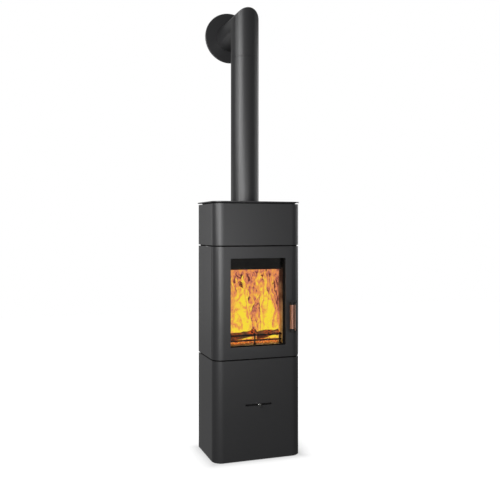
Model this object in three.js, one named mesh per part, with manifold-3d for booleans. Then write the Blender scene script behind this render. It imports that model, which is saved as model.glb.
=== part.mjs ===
// A tall, slim log-burning stove: three stacked steel casings with rounded front corners,
// a hinged fire door with a window and a coil handle, an air slide in the base, and a flue
// pipe that turns into the wall above the stove.
// Millimetres. +X is to the right, +Y to the rear, +Z up. The origin is on the floor, under
// the centre of the casing's footprint.

import * as THREE from "three";
import { mergeVertices } from "three/addons/utils/BufferGeometryUtils.js";
import Module from "manifold-3d";

const wasm = await Module();
wasm.setup();

// ---------------------------------------------------------------- driving dimensions

const GAP = 0.3; // clearance between pieces that seat on each other
const RUNNING_GAP = 0.3; // radial clearance of a shaft in its bore

// Casing
const WIDTH = 470; // outside width
const DEPTH = 300; // outside depth
const CORNER = 50; // outside radius of the two front corners
const SHEET = 3; // casing sheet
const LOWER_HEIGHT = 510; // top edge of the lower casing above the floor
const DOOR_HEIGHT = 569; // height of the middle section
const UPPER_HEIGHT = 212; // height of the upper casing
const SEAM = 6; // shadow gap between the stacked sections
const SEAM_INSET = 16; // how far the spacer in a shadow gap stands back
const SKIRT_GAP = 2; // lower edge of the casing above the floor
const RETURN = 18; // folded edge at the rear of a casing
const BACK_SHEET = 2; // back panels and rear heat shield
const BACK_INSET = 10; // back panels stand in from the casing's edges
const BASE_THICKNESS = 5; // base plate
const DECK = 6; // horizontal plates between the sections
const TOP_PLATE = 6; // top plate
const TOP_OVERHANG = 4; // top plate beyond the casing

// Inner frame
const FRAME_SHEET = 3;
const FRAME_STANDOFF = 3; // between the casing and the frame
const FRAME_FLANGE = 23;
const FRAME_FRONT_SETBACK = 55; // frame behind the casing's front
const FRAME_REAR_SETBACK = 20;
const FRAME_WINDOW_MARGIN = 32; // web left round the frame's cut-outs

// Levelling screws
const SCREW_RADIUS = 5;
const SCREW_LENGTH = 24;
const SCREW_HEAD_RADIUS = 8.5;
const SCREW_HEAD = 7;
const SCREW_X = 190;
const SCREW_FRONT_SETBACK = 36;
const SCREW_REAR_SETBACK = 34;

// Firebox
const DOOR_DEPTH = 50; // from the door's face to the front of the firebox
const FIREBOX_WALL = 4;
const FIREBOX_REAR_SETBACK = 4;
const CHAMBER_HALF = 152; // half the clear width between the side liners
const LINER = 28; // firebrick thickness
const LINER_DROP = 100; // top of the side liners below the firebox's top
const LINTEL_DROP = 113; // top of the firebox opening below the firebox's top
const HEARTH = 19; // hearth slab thickness
const BAFFLE = 20;
const BAFFLE_THROAT = 70; // open gap in front of the lower baffle
const UPPER_BAFFLE = 4;
const UPPER_BAFFLE_DROP = 45; // upper baffle's underside below the firebox's top
const UPPER_BAFFLE_REAR_GAP = 95; // open gap behind the upper baffle
const GRATE = 8;
const GRATE_HALF_WIDTH = 90;
const GRATE_DEPTH = 100;
const GRATE_CENTRE_Y = 5;
const GRATE_LEDGE = 8;
const GRATE_SLOTS = 9;
const GRATE_SLOT_WIDTH = 7;
const PAN_HALF_WIDTH = 104;
const PAN_DEPTH = 160;
const PAN_HEIGHT = 20;
const PAN_SHEET = 1.5;
const PAN_RAIL_LEDGE = 11; // ledge that the ash pan slides on
const PAN_CLEARANCE = 3; // over the pan and beside it

const JET_COUNT = 7; // secondary air holes in the rear board
const JET_PITCH = 38;
const JET_RADIUS = 5;
const JET_HEIGHT = 230; // above the hearth
const DEFLECTOR_REACH = 14; // deflector's channel in front to rear
const DEFLECTOR_SHEET = 2;
const DEFLECTOR_RISE = 40; // channel's underside above the lintel
const DEFLECTOR_FLANGE = 22;
const DEFLECTOR_LIP = 8; // its slanted lower lip
const BRACKET_LEG = 14; // legs of the upper baffle's brackets
const BRACKET_SHEET = 3;

// Rear heat shield
const SHIELD_INSET = 20; // in from the casing's sides
const SHIELD_PROUD = 24; // behind the casing's rear edge
const SHIELD_SHORT = 14; // in from the middle section's ends
const SHIELD_RIB_INSET = 34; // ribs in from the firebox's sides
const SHIELD_RIB_FOOT = 15;

// Log guard
const GUARD_SETBACK = 10; // behind the front of the firebox
const GUARD_ROD = 4; // radius
const GUARD_POST = 4.5; // radius
const GUARD_LOWER = 22; // axis of the lower rod above the hearth
const GUARD_UPPER = 48; // axis of the upper rod above the hearth
const GUARD_POST_SPACING = 139;
const GUARD_POST_HEIGHT = 57;
const GUARD_FOOT = 9; // radius of the feet
const GUARD_ROD_OVERHANG = 8; // rods beyond the end posts

// Flue
const FLUE_RADIUS = 75; // outside radius of the pipe
const FLUE_WALL = 2;
const FLUE_FROM_FRONT = 220; // pipe axis behind the casing's front
const COLLAR_WALL = 4;
const COLLAR_HEIGHT = 85;
const COLLAR_FLANGE = 4;
const PIPE_REACH = 775; // pipe between the top plate and the elbow
const PIPE_NECK = 48; // length of the pipe's reduced end
const ELBOW_RISE = 182; // axis of the leg to the wall above the elbow's lower edge
const WALL_FROM_FRONT = 503; // wall behind the casing's front
const ROSETTE_RADIUS = 143;
const ROSETTE_RISE = 8; // how far the rosette stands out from the wall
const ROSETTE_SHEET = 2;
const TOP_HOLE_GAP = 1.5; // round the pipe in the top plate
const DECK_HOLE_GAP = 3; // round the pipe in the inner decks

// Fire door
const WINDOW_HALF = 148.5;
const WINDOW_SILL = 61.5; // window's lower edge, level with the hearth, above the door's
const WINDOW_HEAD = 60; // window's upper edge below the door's
const WINDOW_CORNER = 2;
const DOOR_WRAP = 44; // depth of the door's wrapped edges
const DOOR_EDGE_GAP = 5; // between a wrapped edge and the side panel
const CAP_SETBACK = 2; // door's end caps in from its edges
const HINGE_FROM_SIDE = 13; // hinge axis in from the casing's side
const HINGE_FROM_FRONT = 38; // hinge axis behind the casing's front
const HINGE_PIN = 4; // radius
const HINGE_PLATE = 5;
const HINGE_LUG = 7; // radius of the lugs round the pin
const HINGE_FROM_EDGE = 36; // hinge plates in from the door's ends
const DOOR_FRAME_SHEET = 3;
const DOOR_FRAME_PLATE_SETBACK = 38; // rear face of the door frame behind the door's face
const DOOR_FRAME_BORDER = 27.5; // rear plate round the window
const GLASS = 4;
const GLASS_LAP = 9.5; // glass beyond the window's edge
const GLASS_SEAL = 1.7;
const RETAINER = 2;
const SEAL_RADIUS = 5.7;
const SEAL_BORDER = 20.5; // rope seal's centre line out from the window's edge
const SEAL_FLOOR = 12; // rope seal's centre line above the door's lower edge

// Latch and handle
const LATCH_FROM_SIDE = 35; // latch shaft in from the casing's right side
const LATCH_FROM_FRONT = 20;
const LATCH_SHAFT = 5; // radius
const LATCH_FINGER = 28; // finger tip's centre from the shaft
const LATCH_FINGER_TIP = 4; // radius
const LATCH_FINGER_HEIGHT = 8;
const STRIKER = 6.5; // radius of the striker pin
const STRIKER_GAP = 2; // between finger and striker
const BEARING_SPREAD = 40; // bearing plates from the handle's mid height
const HANDLE_FROM_SIDE = 63; // handle axis in from the right side
const HANDLE_PROUD = 38; // handle axis in front of the door
const HANDLE_HEIGHT = 208.5; // mid height of the handle above the door's lower edge
const COIL_LENGTH = 139.4;
const COIL_TURNS = 21;
const COIL_WIRE = 2.3; // radius
const COIL_RADIUS = 12.45; // radius of the wire's centre line
const COIL_STEPS = 8; // steps in a turn
const COIL_SIDES = 5;
const ARM_THICKNESS = 8;
const ARM_HALF_WIDTH = 4.5;
const ARM_EYE = 8.5; // radius

// Air control
const SLOT_DROP = 229; // middle of the slot below the lower casing's upper edge
const SLOT_LENGTH = 141;
const SLOT_HEIGHT = 10;
const AIR_TRAVEL = 58; // each way
const AIR_BOX_HALF = 130;
const AIR_BOX_FRONT_SETBACK = 22;
const AIR_BOX_DEPTH = 188;
const AIR_BOX_BELOW = 101; // below the slot's middle
const AIR_BOX_ABOVE = 39;
const AIR_SHEET = 2;
const SLIDE_SHEET = 3;
const SLIDE_HALF = 66;
const SLIDE_DEPTH = 132;
const SLIDE_LEDGE = 9;
const PORT_WIDTH = 30;
const PORT_DEPTH = 70;
const PORT_PITCH = 60;
const LEVER_HALF = 6;
const STUD_RADIUS = 3;
const KNOB_RADIUS = 8.5;
const KNOB_LENGTH = 18;
const KNOB_PROUD = 2.5; // knob's rear face in front of the casing
const AIR_PIPE = 48; // outside radius of the riser and the fresh-air spigot
const AIR_PIPE_FLANGE = 3;
const RISER_Y = -20;
const SPIGOT_LENGTH = 125;
const STAND_SHEET = 3;
const STAND_HALF = 95;
const STAND_FOOT = 25;
const STAND_DEPTH = 130;

// Heat-storing stones in the upper casing
const STONE_CLEARANCE = 9; // round the flue pipe
const STONE_HEIGHT = 188;
const STONE_CHAMFER = 6;
const STONE_GROOVE = 8;

// ---------------------------------------------------------------- derived places

const HALF = WIDTH / 2;
const FRONT = -DEPTH / 2;
const REAR = DEPTH / 2;
const CORNER_Y = FRONT + CORNER; // the corners' centres
const INNER_INSET = SHEET + GAP; // what fits inside the casing
const DOOR_BOTTOM = LOWER_HEIGHT + SEAM;
const DOOR_TOP = DOOR_BOTTOM + DOOR_HEIGHT;
const UPPER_BOTTOM = DOOR_TOP + SEAM;
const UPPER_TOP = UPPER_BOTTOM + UPPER_HEIGHT;
const PLATE_BOTTOM = UPPER_TOP + SEAM;
const PLATE_TOP = PLATE_BOTTOM + TOP_PLATE;
const PIPE_JOINT_Z = PLATE_TOP + PIPE_REACH;
const ELBOW_Z = PIPE_JOINT_Z + ELBOW_RISE;
const WINDOW_BOTTOM = DOOR_BOTTOM + WINDOW_SILL;
const WINDOW_TOP = DOOR_TOP - WINDOW_HEAD;
const LINTEL = DOOR_TOP - LINTEL_DROP;
const LINER_TOP = DOOR_TOP - LINER_DROP;
const UPPER_BAFFLE_Z = DOOR_TOP - UPPER_BAFFLE_DROP;
const HANDLE_MID = DOOR_BOTTOM + HANDLE_HEIGHT;
const SLOT_Z = LOWER_HEIGHT - SLOT_DROP;

const FIREBOX_FRONT = FRONT + DOOR_DEPTH;
const FIREBOX_REAR = REAR - FIREBOX_REAR_SETBACK;
const FIREBOX_HALF = CHAMBER_HALF + LINER + GAP + FIREBOX_WALL;
const FIREBOX_BOTTOM = DOOR_BOTTOM + GAP;
const FIREBOX_TOP = DOOR_TOP - GAP;
const HEARTH_TOP = WINDOW_BOTTOM;
const HEARTH_BOTTOM = HEARTH_TOP - HEARTH;
const LINER_FRONT = FIREBOX_FRONT + FIREBOX_WALL + GAP;
const REAR_LINER_BACK = FIREBOX_REAR - FIREBOX_WALL - GAP;
const REAR_LINER_FACE = REAR_LINER_BACK - LINER;
const LINER_HALF = CHAMBER_HALF + LINER;
const FLUE_Y = FRONT + FLUE_FROM_FRONT;
const FLUE_BORE = FLUE_RADIUS - FLUE_WALL;
const COLLAR_RADIUS = FLUE_BORE - GAP;
const COLLAR_BORE = COLLAR_RADIUS - COLLAR_WALL;
const WALL_Y = FRONT + WALL_FROM_FRONT;

const HINGE_X = -HALF + HINGE_FROM_SIDE;
const HINGE_Y = FRONT + HINGE_FROM_FRONT;
const DOOR_EDGE_Y = FRONT + DOOR_WRAP;
const SIDE_FRONT = DOOR_EDGE_Y + DOOR_EDGE_GAP;
const FRAME_PLATE_REAR = FRONT + DOOR_FRAME_PLATE_SETBACK;
const FRAME_PLATE_FRONT = FRAME_PLATE_REAR - DOOR_FRAME_SHEET;
const SHAFT_X = HALF - LATCH_FROM_SIDE;
const SHAFT_Y = FRONT + LATCH_FROM_FRONT;
const HANDLE_X = HALF - HANDLE_FROM_SIDE;
const HANDLE_Y = FRONT - HANDLE_PROUD;
const COIL_BOTTOM = HANDLE_MID - COIL_LENGTH / 2;
const COIL_TOP = HANDLE_MID + COIL_LENGTH / 2;
const LOWER_ARM = COIL_BOTTOM - GAP - ARM_THICKNESS;
const UPPER_ARM = COIL_TOP + GAP;

const SLIDE_BOTTOM = SLOT_Z - SLIDE_SHEET / 2;
const SLIDE_TOP = SLIDE_BOTTOM + SLIDE_SHEET;
const AIR_BOX_FRONT = FRONT + AIR_BOX_FRONT_SETBACK;
const AIR_BOX_REAR = AIR_BOX_FRONT + AIR_BOX_DEPTH;
const AIR_BOX_BOTTOM = SLOT_Z - AIR_BOX_BELOW;
const AIR_BOX_TOP = SLOT_Z + AIR_BOX_ABOVE;
const SLIDE_FRONT = AIR_BOX_FRONT + AIR_SHEET + GAP;
const SLIDE_REAR = SLIDE_FRONT + SLIDE_DEPTH;

// ---------------------------------------------------------------- materials

const paint = new THREE.MeshStandardMaterial({ color: 0x3c3c3d, roughness: 0.55, metalness: 0.3 });
const blackSteel = new THREE.MeshStandardMaterial({ color: 0x161616, roughness: 0.7, metalness: 0.3 });
const plainSteel = new THREE.MeshStandardMaterial({ color: 0x8d8f91, roughness: 0.4, metalness: 1 });
const polishedSteel = new THREE.MeshStandardMaterial({ color: 0xc9cacb, roughness: 0.25, metalness: 1 });
const castIron = new THREE.MeshStandardMaterial({ color: 0x202122, roughness: 0.8, metalness: 0.4 });
const copper = new THREE.MeshStandardMaterial({ color: 0xb87452, roughness: 0.3, metalness: 1 });
const firebrick = new THREE.MeshStandardMaterial({ color: 0xc9b48a, roughness: 0.95, metalness: 0 });
const storageStone = new THREE.MeshStandardMaterial({ color: 0x6d6a66, roughness: 0.9, metalness: 0 });
const ropeSeal = new THREE.MeshStandardMaterial({ color: 0x4a4844, roughness: 1, metalness: 0 });
const ceramicGlass = new THREE.MeshStandardMaterial({
  color: 0xbfb8ac,
  roughness: 0.05,
  metalness: 0,
  transparent: true,
  opacity: 0.35,
});

// ---------------------------------------------------------------- shapes and solids

const X_AXIS = new THREE.Vector3(1, 0, 0);
const Y_AXIS = new THREE.Vector3(0, 1, 0);
const Z_AXIS = new THREE.Vector3(0, 0, 1);

// How a flat drawing stands in the stove: drawn as (y, z), as (x, z) or as (x, y).
const DRAWN_ACROSS = {
  x: new THREE.Matrix4().makeBasis(Y_AXIS, Z_AXIS, X_AXIS),
  y: new THREE.Matrix4().makeBasis(X_AXIS, Z_AXIS, Y_AXIS.clone().negate()),
  z: new THREE.Matrix4(),
};

const ROUND = 24; // half the sides of a pipe
const SMALL_ROUND = 6; // half the sides of a pin or a rod
const CORNER_STEPS = 5; // half the steps in a quarter circle

// A closed geometry as a solid that can be joined and cut.
function solid(geometry) {
  const bare = geometry.index ? geometry.toNonIndexed() : geometry.clone();
  bare.deleteAttribute("normal");
  bare.deleteAttribute("uv");
  const merged = mergeVertices(bare, 1e-4);
  return new wasm.Manifold(
    new wasm.Mesh({
      numProp: 3,
      vertProperties: merged.attributes.position.array,
      triVerts: new Uint32Array(merged.index.array),
    }),
  );
}

const join = (first, ...others) => others.reduce((sum, next) => sum.add(next), first);
const cut = (first, ...others) => others.reduce((sum, next) => sum.subtract(next), first);

// A drawing pulled along an axis from one place to another.
function prism(shape, axis, from, to, steps = CORNER_STEPS) {
  const geometry = new THREE.ExtrudeGeometry(shape, {
    depth: to - from,
    bevelEnabled: false,
    curveSegments: steps,
  });
  geometry.applyMatrix4(DRAWN_ACROSS[axis]);
  if (axis === "x") geometry.translate(from, 0, 0);
  if (axis === "y") geometry.translate(0, to, 0);
  if (axis === "z") geometry.translate(0, 0, from);
  return solid(geometry);
}

const polygon = (points) => new THREE.Shape(points.map(([a, b]) => new THREE.Vector2(a, b)));

function rectangle(a0, b0, a1, b1, radius = 0) {
  if (radius <= 0) return polygon([[a0, b0], [a1, b0], [a1, b1], [a0, b1]]);
  const shape = new THREE.Shape();
  shape.moveTo(a0 + radius, b0);
  shape.absarc(a1 - radius, b0 + radius, radius, -Math.PI / 2, 0, false);
  shape.absarc(a1 - radius, b1 - radius, radius, 0, Math.PI / 2, false);
  shape.absarc(a0 + radius, b1 - radius, radius, Math.PI / 2, Math.PI, false);
  shape.absarc(a0 + radius, b0 + radius, radius, Math.PI, 1.5 * Math.PI, false);
  return shape;
}

function circle(a, b, radius) {
  const shape = new THREE.Shape();
  shape.absarc(a, b, radius, 0, 2 * Math.PI, false);
  return shape;
}

const bar = (axis, a, b, radius, from, to, steps = SMALL_ROUND) =>
  prism(circle(a, b, radius), axis, from, to, steps);

// A profile of (radius, height) points turned about an upright axis.
function turned(profile, x = 0, y = 0, steps = 2 * ROUND) {
  const points = profile.map(([r, h]) => new THREE.Vector2(r, h));
  const geometry = new THREE.LatheGeometry(points, steps);
  geometry.applyMatrix4(DRAWN_ACROSS.y);
  geometry.translate(x, y, 0);
  return solid(geometry);
}

// The same about an axis that runs to the rear, with heights measured along Y.
function turnedAlongY(profile, x = 0, z = 0, steps = 2 * ROUND) {
  const points = profile.map(([r, h]) => new THREE.Vector2(r, h));
  const geometry = new THREE.LatheGeometry(points, steps);
  geometry.translate(x, 0, z);
  return solid(geometry);
}

// Rings of points joined into one skin: a looped loft closes on its first ring, another has
// flat ends. Each ring runs round its direction of travel by the right hand.
function loft(rings, looped) {
  const sides = rings[0].length;
  const positions = rings.flatMap((ring) => ring.flatMap((p) => [p.x, p.y, p.z]));
  const faces = [];
  const spans = looped ? rings.length : rings.length - 1;
  for (let i = 0; i < spans; i++) {
    const here = i * sides;
    const there = ((i + 1) % rings.length) * sides;
    for (let k = 0; k < sides; k++) {
      const next = (k + 1) % sides;
      faces.push(here + k, here + next, there + next);
      faces.push(here + k, there + next, there + k);
    }
  }
  if (!looped) {
    const last = (rings.length - 1) * sides;
    for (let k = 1; k < sides - 1; k++) {
      faces.push(0, k + 1, k);
      faces.push(last, last + k, last + k + 1);
    }
  }
  const geometry = new THREE.BufferGeometry();
  geometry.setAttribute("position", new THREE.Float32BufferAttribute(positions, 3));
  geometry.setIndex(faces);
  return solid(geometry);
}

// A ring of points at a place, square to a direction.
function sectionAt(place, side, up, radius, sides) {
  return Array.from({ length: sides }, (_, k) => {
    const angle = (2 * Math.PI * k) / sides;
    return place
      .clone()
      .addScaledVector(side, radius * Math.cos(angle))
      .addScaledVector(up, radius * Math.sin(angle));
  });
}

// ---------------------------------------------------------------- assembly

const stove = new THREE.Group();
const groups = {
  base: group(0, 0, 0),
  airControl: group(0, FRONT, SLOT_Z),
  firebox: group(0, FIREBOX_FRONT, DOOR_BOTTOM),
  upper: group(0, 0, UPPER_BOTTOM),
  flue: group(0, FLUE_Y, DOOR_TOP),
  door: group(HINGE_X, HINGE_Y, DOOR_BOTTOM),
};
groups.handle = group(SHAFT_X, SHAFT_Y, HANDLE_MID, groups.door);

// A group at a place given in the stove's frame.
function group(x, y, z, parent = stove) {
  const made = new THREE.Group();
  const origin = parent.getWorldPosition(new THREE.Vector3());
  made.position.set(x, y, z).sub(origin);
  parent.add(made);
  return made;
}

// A piece is drawn in the stove's frame and moved into the frame of the group that carries it.
function piece(carrier, name, shape, material) {
  const made = shape.getMesh();
  const geometry = new THREE.BufferGeometry();
  geometry.setAttribute("position", new THREE.BufferAttribute(new Float32Array(made.vertProperties), 3));
  geometry.setIndex(new THREE.BufferAttribute(new Uint32Array(made.triVerts), 1));
  const origin = carrier.getWorldPosition(new THREE.Vector3());
  geometry.translate(-origin.x, -origin.y, -origin.z);
  const mesh = new THREE.Mesh(geometry, material);
  mesh.name = name;
  carrier.add(mesh);
}

// ---------------------------------------------------------------- casing

// A deck seen from above: rounded front corners like the casing's, inset from its faces.
function deckShape(inset, rear = REAR - inset) {
  const half = HALF - inset;
  const radius = Math.max(CORNER - inset, 1);
  const centre = half - radius;
  const front = FRONT + inset + radius;
  const shape = new THREE.Shape();
  shape.moveTo(-half, rear);
  shape.lineTo(-half, front);
  shape.absarc(-centre, front, radius, Math.PI, 1.5 * Math.PI, false);
  shape.absarc(centre, front, radius, 1.5 * Math.PI, 2 * Math.PI, false);
  shape.lineTo(half, rear);
  shape.closePath();
  return shape;
}

// A sheet folded round the front and both sides, seen from above, with its rear edges
// folded inwards by lip.
function wrapShape(rear, lip = 0) {
  const inner = HALF - SHEET;
  const innerRadius = CORNER - SHEET;
  const centre = HALF - CORNER;
  const shape = new THREE.Shape();
  shape.moveTo(-HALF, rear);
  shape.lineTo(-HALF, CORNER_Y);
  shape.absarc(-centre, CORNER_Y, CORNER, Math.PI, 1.5 * Math.PI, false);
  shape.absarc(centre, CORNER_Y, CORNER, 1.5 * Math.PI, 2 * Math.PI, false);
  shape.lineTo(HALF, rear);
  if (lip > 0) {
    shape.lineTo(HALF - lip, rear);
    shape.lineTo(HALF - lip, rear - SHEET);
    shape.lineTo(inner, rear - SHEET);
  } else {
    shape.lineTo(inner, rear);
  }
  shape.lineTo(inner, CORNER_Y);
  shape.absarc(centre, CORNER_Y, innerRadius, 2 * Math.PI, 1.5 * Math.PI, true);
  shape.absarc(-centre, CORNER_Y, innerRadius, 1.5 * Math.PI, Math.PI, true);
  if (lip > 0) {
    shape.lineTo(-inner, rear - SHEET);
    shape.lineTo(-HALF + lip, rear - SHEET);
    shape.lineTo(-HALF + lip, rear);
  } else {
    shape.lineTo(-inner, rear);
  }
  shape.closePath();
  return shape;
}

const BOTH_SIDES = [
  ["left", -1],
  ["right", 1],
];

// Slots for the air that rises between firebox and casing.
function convectionSlots(from, to) {
  const outer = HALF - SEAM_INSET - 8;
  const inner = outer - 14;
  const front = FIREBOX_FRONT + 30;
  const rear = REAR - SEAM_INSET - 24;
  return BOTH_SIDES.map(([, side]) => {
    const edges = [side * inner, side * outer].sort((a, b) => a - b);
    return prism(rectangle(edges[0], front, edges[1], rear, 5), "z", from, to);
  });
}

// The notch that lets a deck be drawn off the flue pipe to the front.
function flueNotch(from, to) {
  const radius = FLUE_RADIUS + DECK_HOLE_GAP;
  return join(
    bar("z", 0, FLUE_Y, radius, from, to, ROUND),
    prism(rectangle(-radius, FLUE_Y, radius, REAR + TOP_OVERHANG), "z", from, to),
  );
}

function baseParts() {
  const screwPlaces = [
    [-SCREW_X, FRONT + SCREW_FRONT_SETBACK],
    [SCREW_X, FRONT + SCREW_FRONT_SETBACK],
    [-SCREW_X, REAR - SCREW_REAR_SETBACK],
    [SCREW_X, REAR - SCREW_REAR_SETBACK],
  ];
  const plate = prism(deckShape(INNER_INSET), "z", 0, BASE_THICKNESS);
  const holes = screwPlaces.map(([x, y]) => bar("z", x, y, SCREW_RADIUS + GAP, -1, BASE_THICKNESS + 1));
  piece(groups.base, "base_plate", cut(plate, ...holes), blackSteel);

  screwPlaces.forEach(([x, y], i) => {
    const headBottom = BASE_THICKNESS + GAP;
    const head = prism(circle(x, y, SCREW_HEAD_RADIUS), "z", headBottom, headBottom + SCREW_HEAD, 3);
    const shank = bar("z", x, y, SCREW_RADIUS, 0, SCREW_LENGTH);
    piece(groups.base, `levelling_screw_${i + 1}`, join(shank, head), plainSteel);
  });

  const slot = rectangle(
    -SLOT_LENGTH / 2,
    SLOT_Z - SLOT_HEIGHT / 2,
    SLOT_LENGTH / 2,
    SLOT_Z + SLOT_HEIGHT / 2,
    SLOT_HEIGHT / 5,
  );
  const shell = prism(wrapShape(REAR, RETURN), "z", SKIRT_GAP, LOWER_HEIGHT);
  const lowerShell = cut(shell, prism(slot, "y", FRONT - 1, FRONT + SHEET + 1, 2));
  piece(groups.base, "lower_shell", lowerShell, paint);

  const deck = join(
    prism(deckShape(INNER_INSET), "z", LOWER_HEIGHT - DECK, LOWER_HEIGHT),
    prism(deckShape(SEAM_INSET), "z", LOWER_HEIGHT - 1, DOOR_BOTTOM),
  );
  const riserHole = bar("z", 0, RISER_Y, AIR_PIPE + GAP, LOWER_HEIGHT - DECK - 1, DOOR_BOTTOM + 1, ROUND);
  const slots = convectionSlots(LOWER_HEIGHT - DECK - 1, DOOR_BOTTOM + 1);
  piece(groups.base, "mid_deck", cut(deck, riserHole, ...slots), blackSteel);

  frames(groups.base, "lower_frame", BASE_THICKNESS + GAP, LOWER_HEIGHT - DECK - GAP, 2);
  const vents = ventSlots(LOWER_HEIGHT - 90, 6);
  const spigotHole = bar("y", 0, spigotZ(), AIR_PIPE + 3, REAR - 1, REAR + BACK_SHEET + 2, ROUND);
  const back = backPanel(SKIRT_GAP, LOWER_HEIGHT);
  piece(groups.base, "lower_back_panel", cut(back, spigotHole, ...vents), blackSteel);
}

// Folded posts on both sides that carry one section: a web with cut-outs and two flanges.
function frames(carrier, name, bottom, top, windows) {
  const web = HALF - SHEET - FRAME_STANDOFF;
  const front = FRONT + FRAME_FRONT_SETBACK;
  const rear = REAR - FRAME_REAR_SETBACK;
  const pitch = (top - bottom - FRAME_WINDOW_MARGIN) / windows;
  BOTH_SIDES.forEach(([side, sign]) => {
    const section = polygon([
      [sign * web, front],
      [sign * web, rear],
      [sign * (web - FRAME_FLANGE), rear],
      [sign * (web - FRAME_FLANGE), rear - FRAME_SHEET],
      [sign * (web - FRAME_SHEET), rear - FRAME_SHEET],
      [sign * (web - FRAME_SHEET), front + FRAME_SHEET],
      [sign * (web - FRAME_FLANGE), front + FRAME_SHEET],
      [sign * (web - FRAME_FLANGE), front],
    ]);
    const faces = [sign * web, sign * (web - FRAME_SHEET)].sort((a, b) => a - b);
    const openings = Array.from({ length: windows }, (_, i) => {
      const low = bottom + FRAME_WINDOW_MARGIN + i * pitch;
      const hole = rectangle(
        front + FRAME_WINDOW_MARGIN,
        low,
        rear - FRAME_WINDOW_MARGIN,
        low + pitch - FRAME_WINDOW_MARGIN,
        12,
      );
      return prism(hole, "x", faces[0] - 1, faces[1] + 1, 3);
    });
    piece(carrier, `${name}_${side}`, cut(prism(section, "z", bottom, top), ...openings), blackSteel);
  });
}

function backPanel(bottom, top) {
  const outline = rectangle(
    -HALF + BACK_INSET,
    bottom + BACK_INSET,
    HALF - BACK_INSET,
    top - BACK_INSET,
    6,
  );
  return prism(outline, "y", REAR + GAP, REAR + GAP + BACK_SHEET, 2);
}

// A row of upright vent slots in a back panel.
function ventSlots(z, count) {
  const pitch = 40;
  const height = 56;
  return Array.from({ length: count }, (_, i) => {
    const x = (i - (count - 1) / 2) * pitch;
    const slot = rectangle(x - 5, z - height / 2, x + 5, z + height / 2, 4.9);
    return prism(slot, "y", REAR - 1, REAR + BACK_SHEET + 2, 1);
  });
}

function middlePanels() {
  const bottom = DOOR_BOTTOM + GAP;
  const top = DOOR_TOP - GAP;
  const ribFront = FIREBOX_FRONT + 16;
  const ribRear = REAR - SEAM_INSET - 14;
  const ribInner = FIREBOX_HALF + 20;
  BOTH_SIDES.forEach(([side, sign]) => {
    const outline = [
      [HALF, SIDE_FRONT],
      [HALF, REAR],
      [HALF - RETURN, REAR],
      [HALF - RETURN, REAR - SHEET],
      [HALF - SHEET, REAR - SHEET],
      [HALF - SHEET, ribRear + SHEET],
      [ribInner, ribRear + SHEET],
      [ribInner, ribRear],
      [HALF - SHEET, ribRear],
      [HALF - SHEET, ribFront + SHEET],
      [ribInner, ribFront + SHEET],
      [ribInner, ribFront],
      [HALF - SHEET, ribFront],
      [HALF - SHEET, SIDE_FRONT],
    ];
    const section = polygon(outline.map(([x, y]) => [sign * x, y]));
    piece(groups.firebox, `mid_side_${side}`, prism(section, "z", bottom, top), paint);
  });

  // Rear heat shield: a shallow tray on two hat ribs that stand on the firebox.
  const shieldHalf = HALF - SHIELD_INSET;
  const shieldBack = REAR + SHIELD_PROUD;
  const ribX = FIREBOX_HALF - SHIELD_RIB_INSET;
  const foot = SHIELD_RIB_FOOT;
  const toFirebox = FIREBOX_REAR + GAP;
  const shieldFront = shieldBack - BACK_SHEET;
  const tray = polygon([
    [-shieldHalf, shieldBack],
    [-shieldHalf, REAR + BACK_SHEET],
    [-shieldHalf + BACK_SHEET, REAR + BACK_SHEET],
    [-shieldHalf + BACK_SHEET, shieldFront],
    [shieldHalf - BACK_SHEET, shieldFront],
    [shieldHalf - BACK_SHEET, REAR + BACK_SHEET],
    [shieldHalf, REAR + BACK_SHEET],
    [shieldHalf, shieldBack],
  ]);
  const ribs = BOTH_SIDES.map(([, sign]) =>
    polygon(
      [
        [ribX, shieldFront + 1],
        [ribX, toFirebox],
        [ribX + foot, toFirebox],
        [ribX + foot, toFirebox + BACK_SHEET],
        [ribX + BACK_SHEET, toFirebox + BACK_SHEET],
        [ribX + BACK_SHEET, shieldFront + 1],
      ].map(([x, y]) => [sign * x, y]),
    ),
  );
  const low = DOOR_BOTTOM + SHIELD_SHORT;
  const high = DOOR_TOP - SHIELD_SHORT;
  const shield = join(prism(tray, "z", low, high), ...ribs.map((rib) => prism(rib, "z", low, high)));
  piece(groups.firebox, "rear_heat_shield", shield, blackSteel);
}

function upperParts() {
  const deck = join(
    prism(deckShape(SEAM_INSET), "z", DOOR_TOP, UPPER_BOTTOM + 1),
    prism(deckShape(INNER_INSET), "z", UPPER_BOTTOM, UPPER_BOTTOM + DECK),
  );
  const low = DOOR_TOP - 1;
  const high = UPPER_BOTTOM + DECK + 1;
  const upperDeck = cut(deck, flueNotch(low, high), ...convectionSlots(low, high));
  piece(groups.upper, "upper_deck", upperDeck, blackSteel);

  piece(groups.upper, "upper_shell", prism(wrapShape(REAR, RETURN), "z", UPPER_BOTTOM, UPPER_TOP), paint);
  const back = backPanel(UPPER_BOTTOM, UPPER_TOP);
  piece(groups.upper, "upper_back_panel", cut(back, ...ventSlots(UPPER_TOP - 60, 8)), blackSteel);
  frames(groups.upper, "upper_frame", UPPER_BOTTOM + DECK + GAP, UPPER_TOP - DECK - GAP, 1);

  const support = join(
    prism(deckShape(INNER_INSET), "z", UPPER_TOP - DECK, UPPER_TOP),
    prism(deckShape(SEAM_INSET), "z", UPPER_TOP - 1, PLATE_BOTTOM - GAP),
  );
  const from = UPPER_TOP - DECK - 1;
  piece(groups.upper, "top_support", cut(support, flueNotch(from, PLATE_BOTTOM)), blackSteel);

  const plate = prism(deckShape(-TOP_OVERHANG), "z", PLATE_BOTTOM, PLATE_TOP);
  const flueHole = bar("z", 0, FLUE_Y, FLUE_RADIUS + TOP_HOLE_GAP, PLATE_BOTTOM - 1, PLATE_TOP + 1, ROUND);
  piece(groups.upper, "top_plate", cut(plate, flueHole), paint);
  stones();
}

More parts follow.
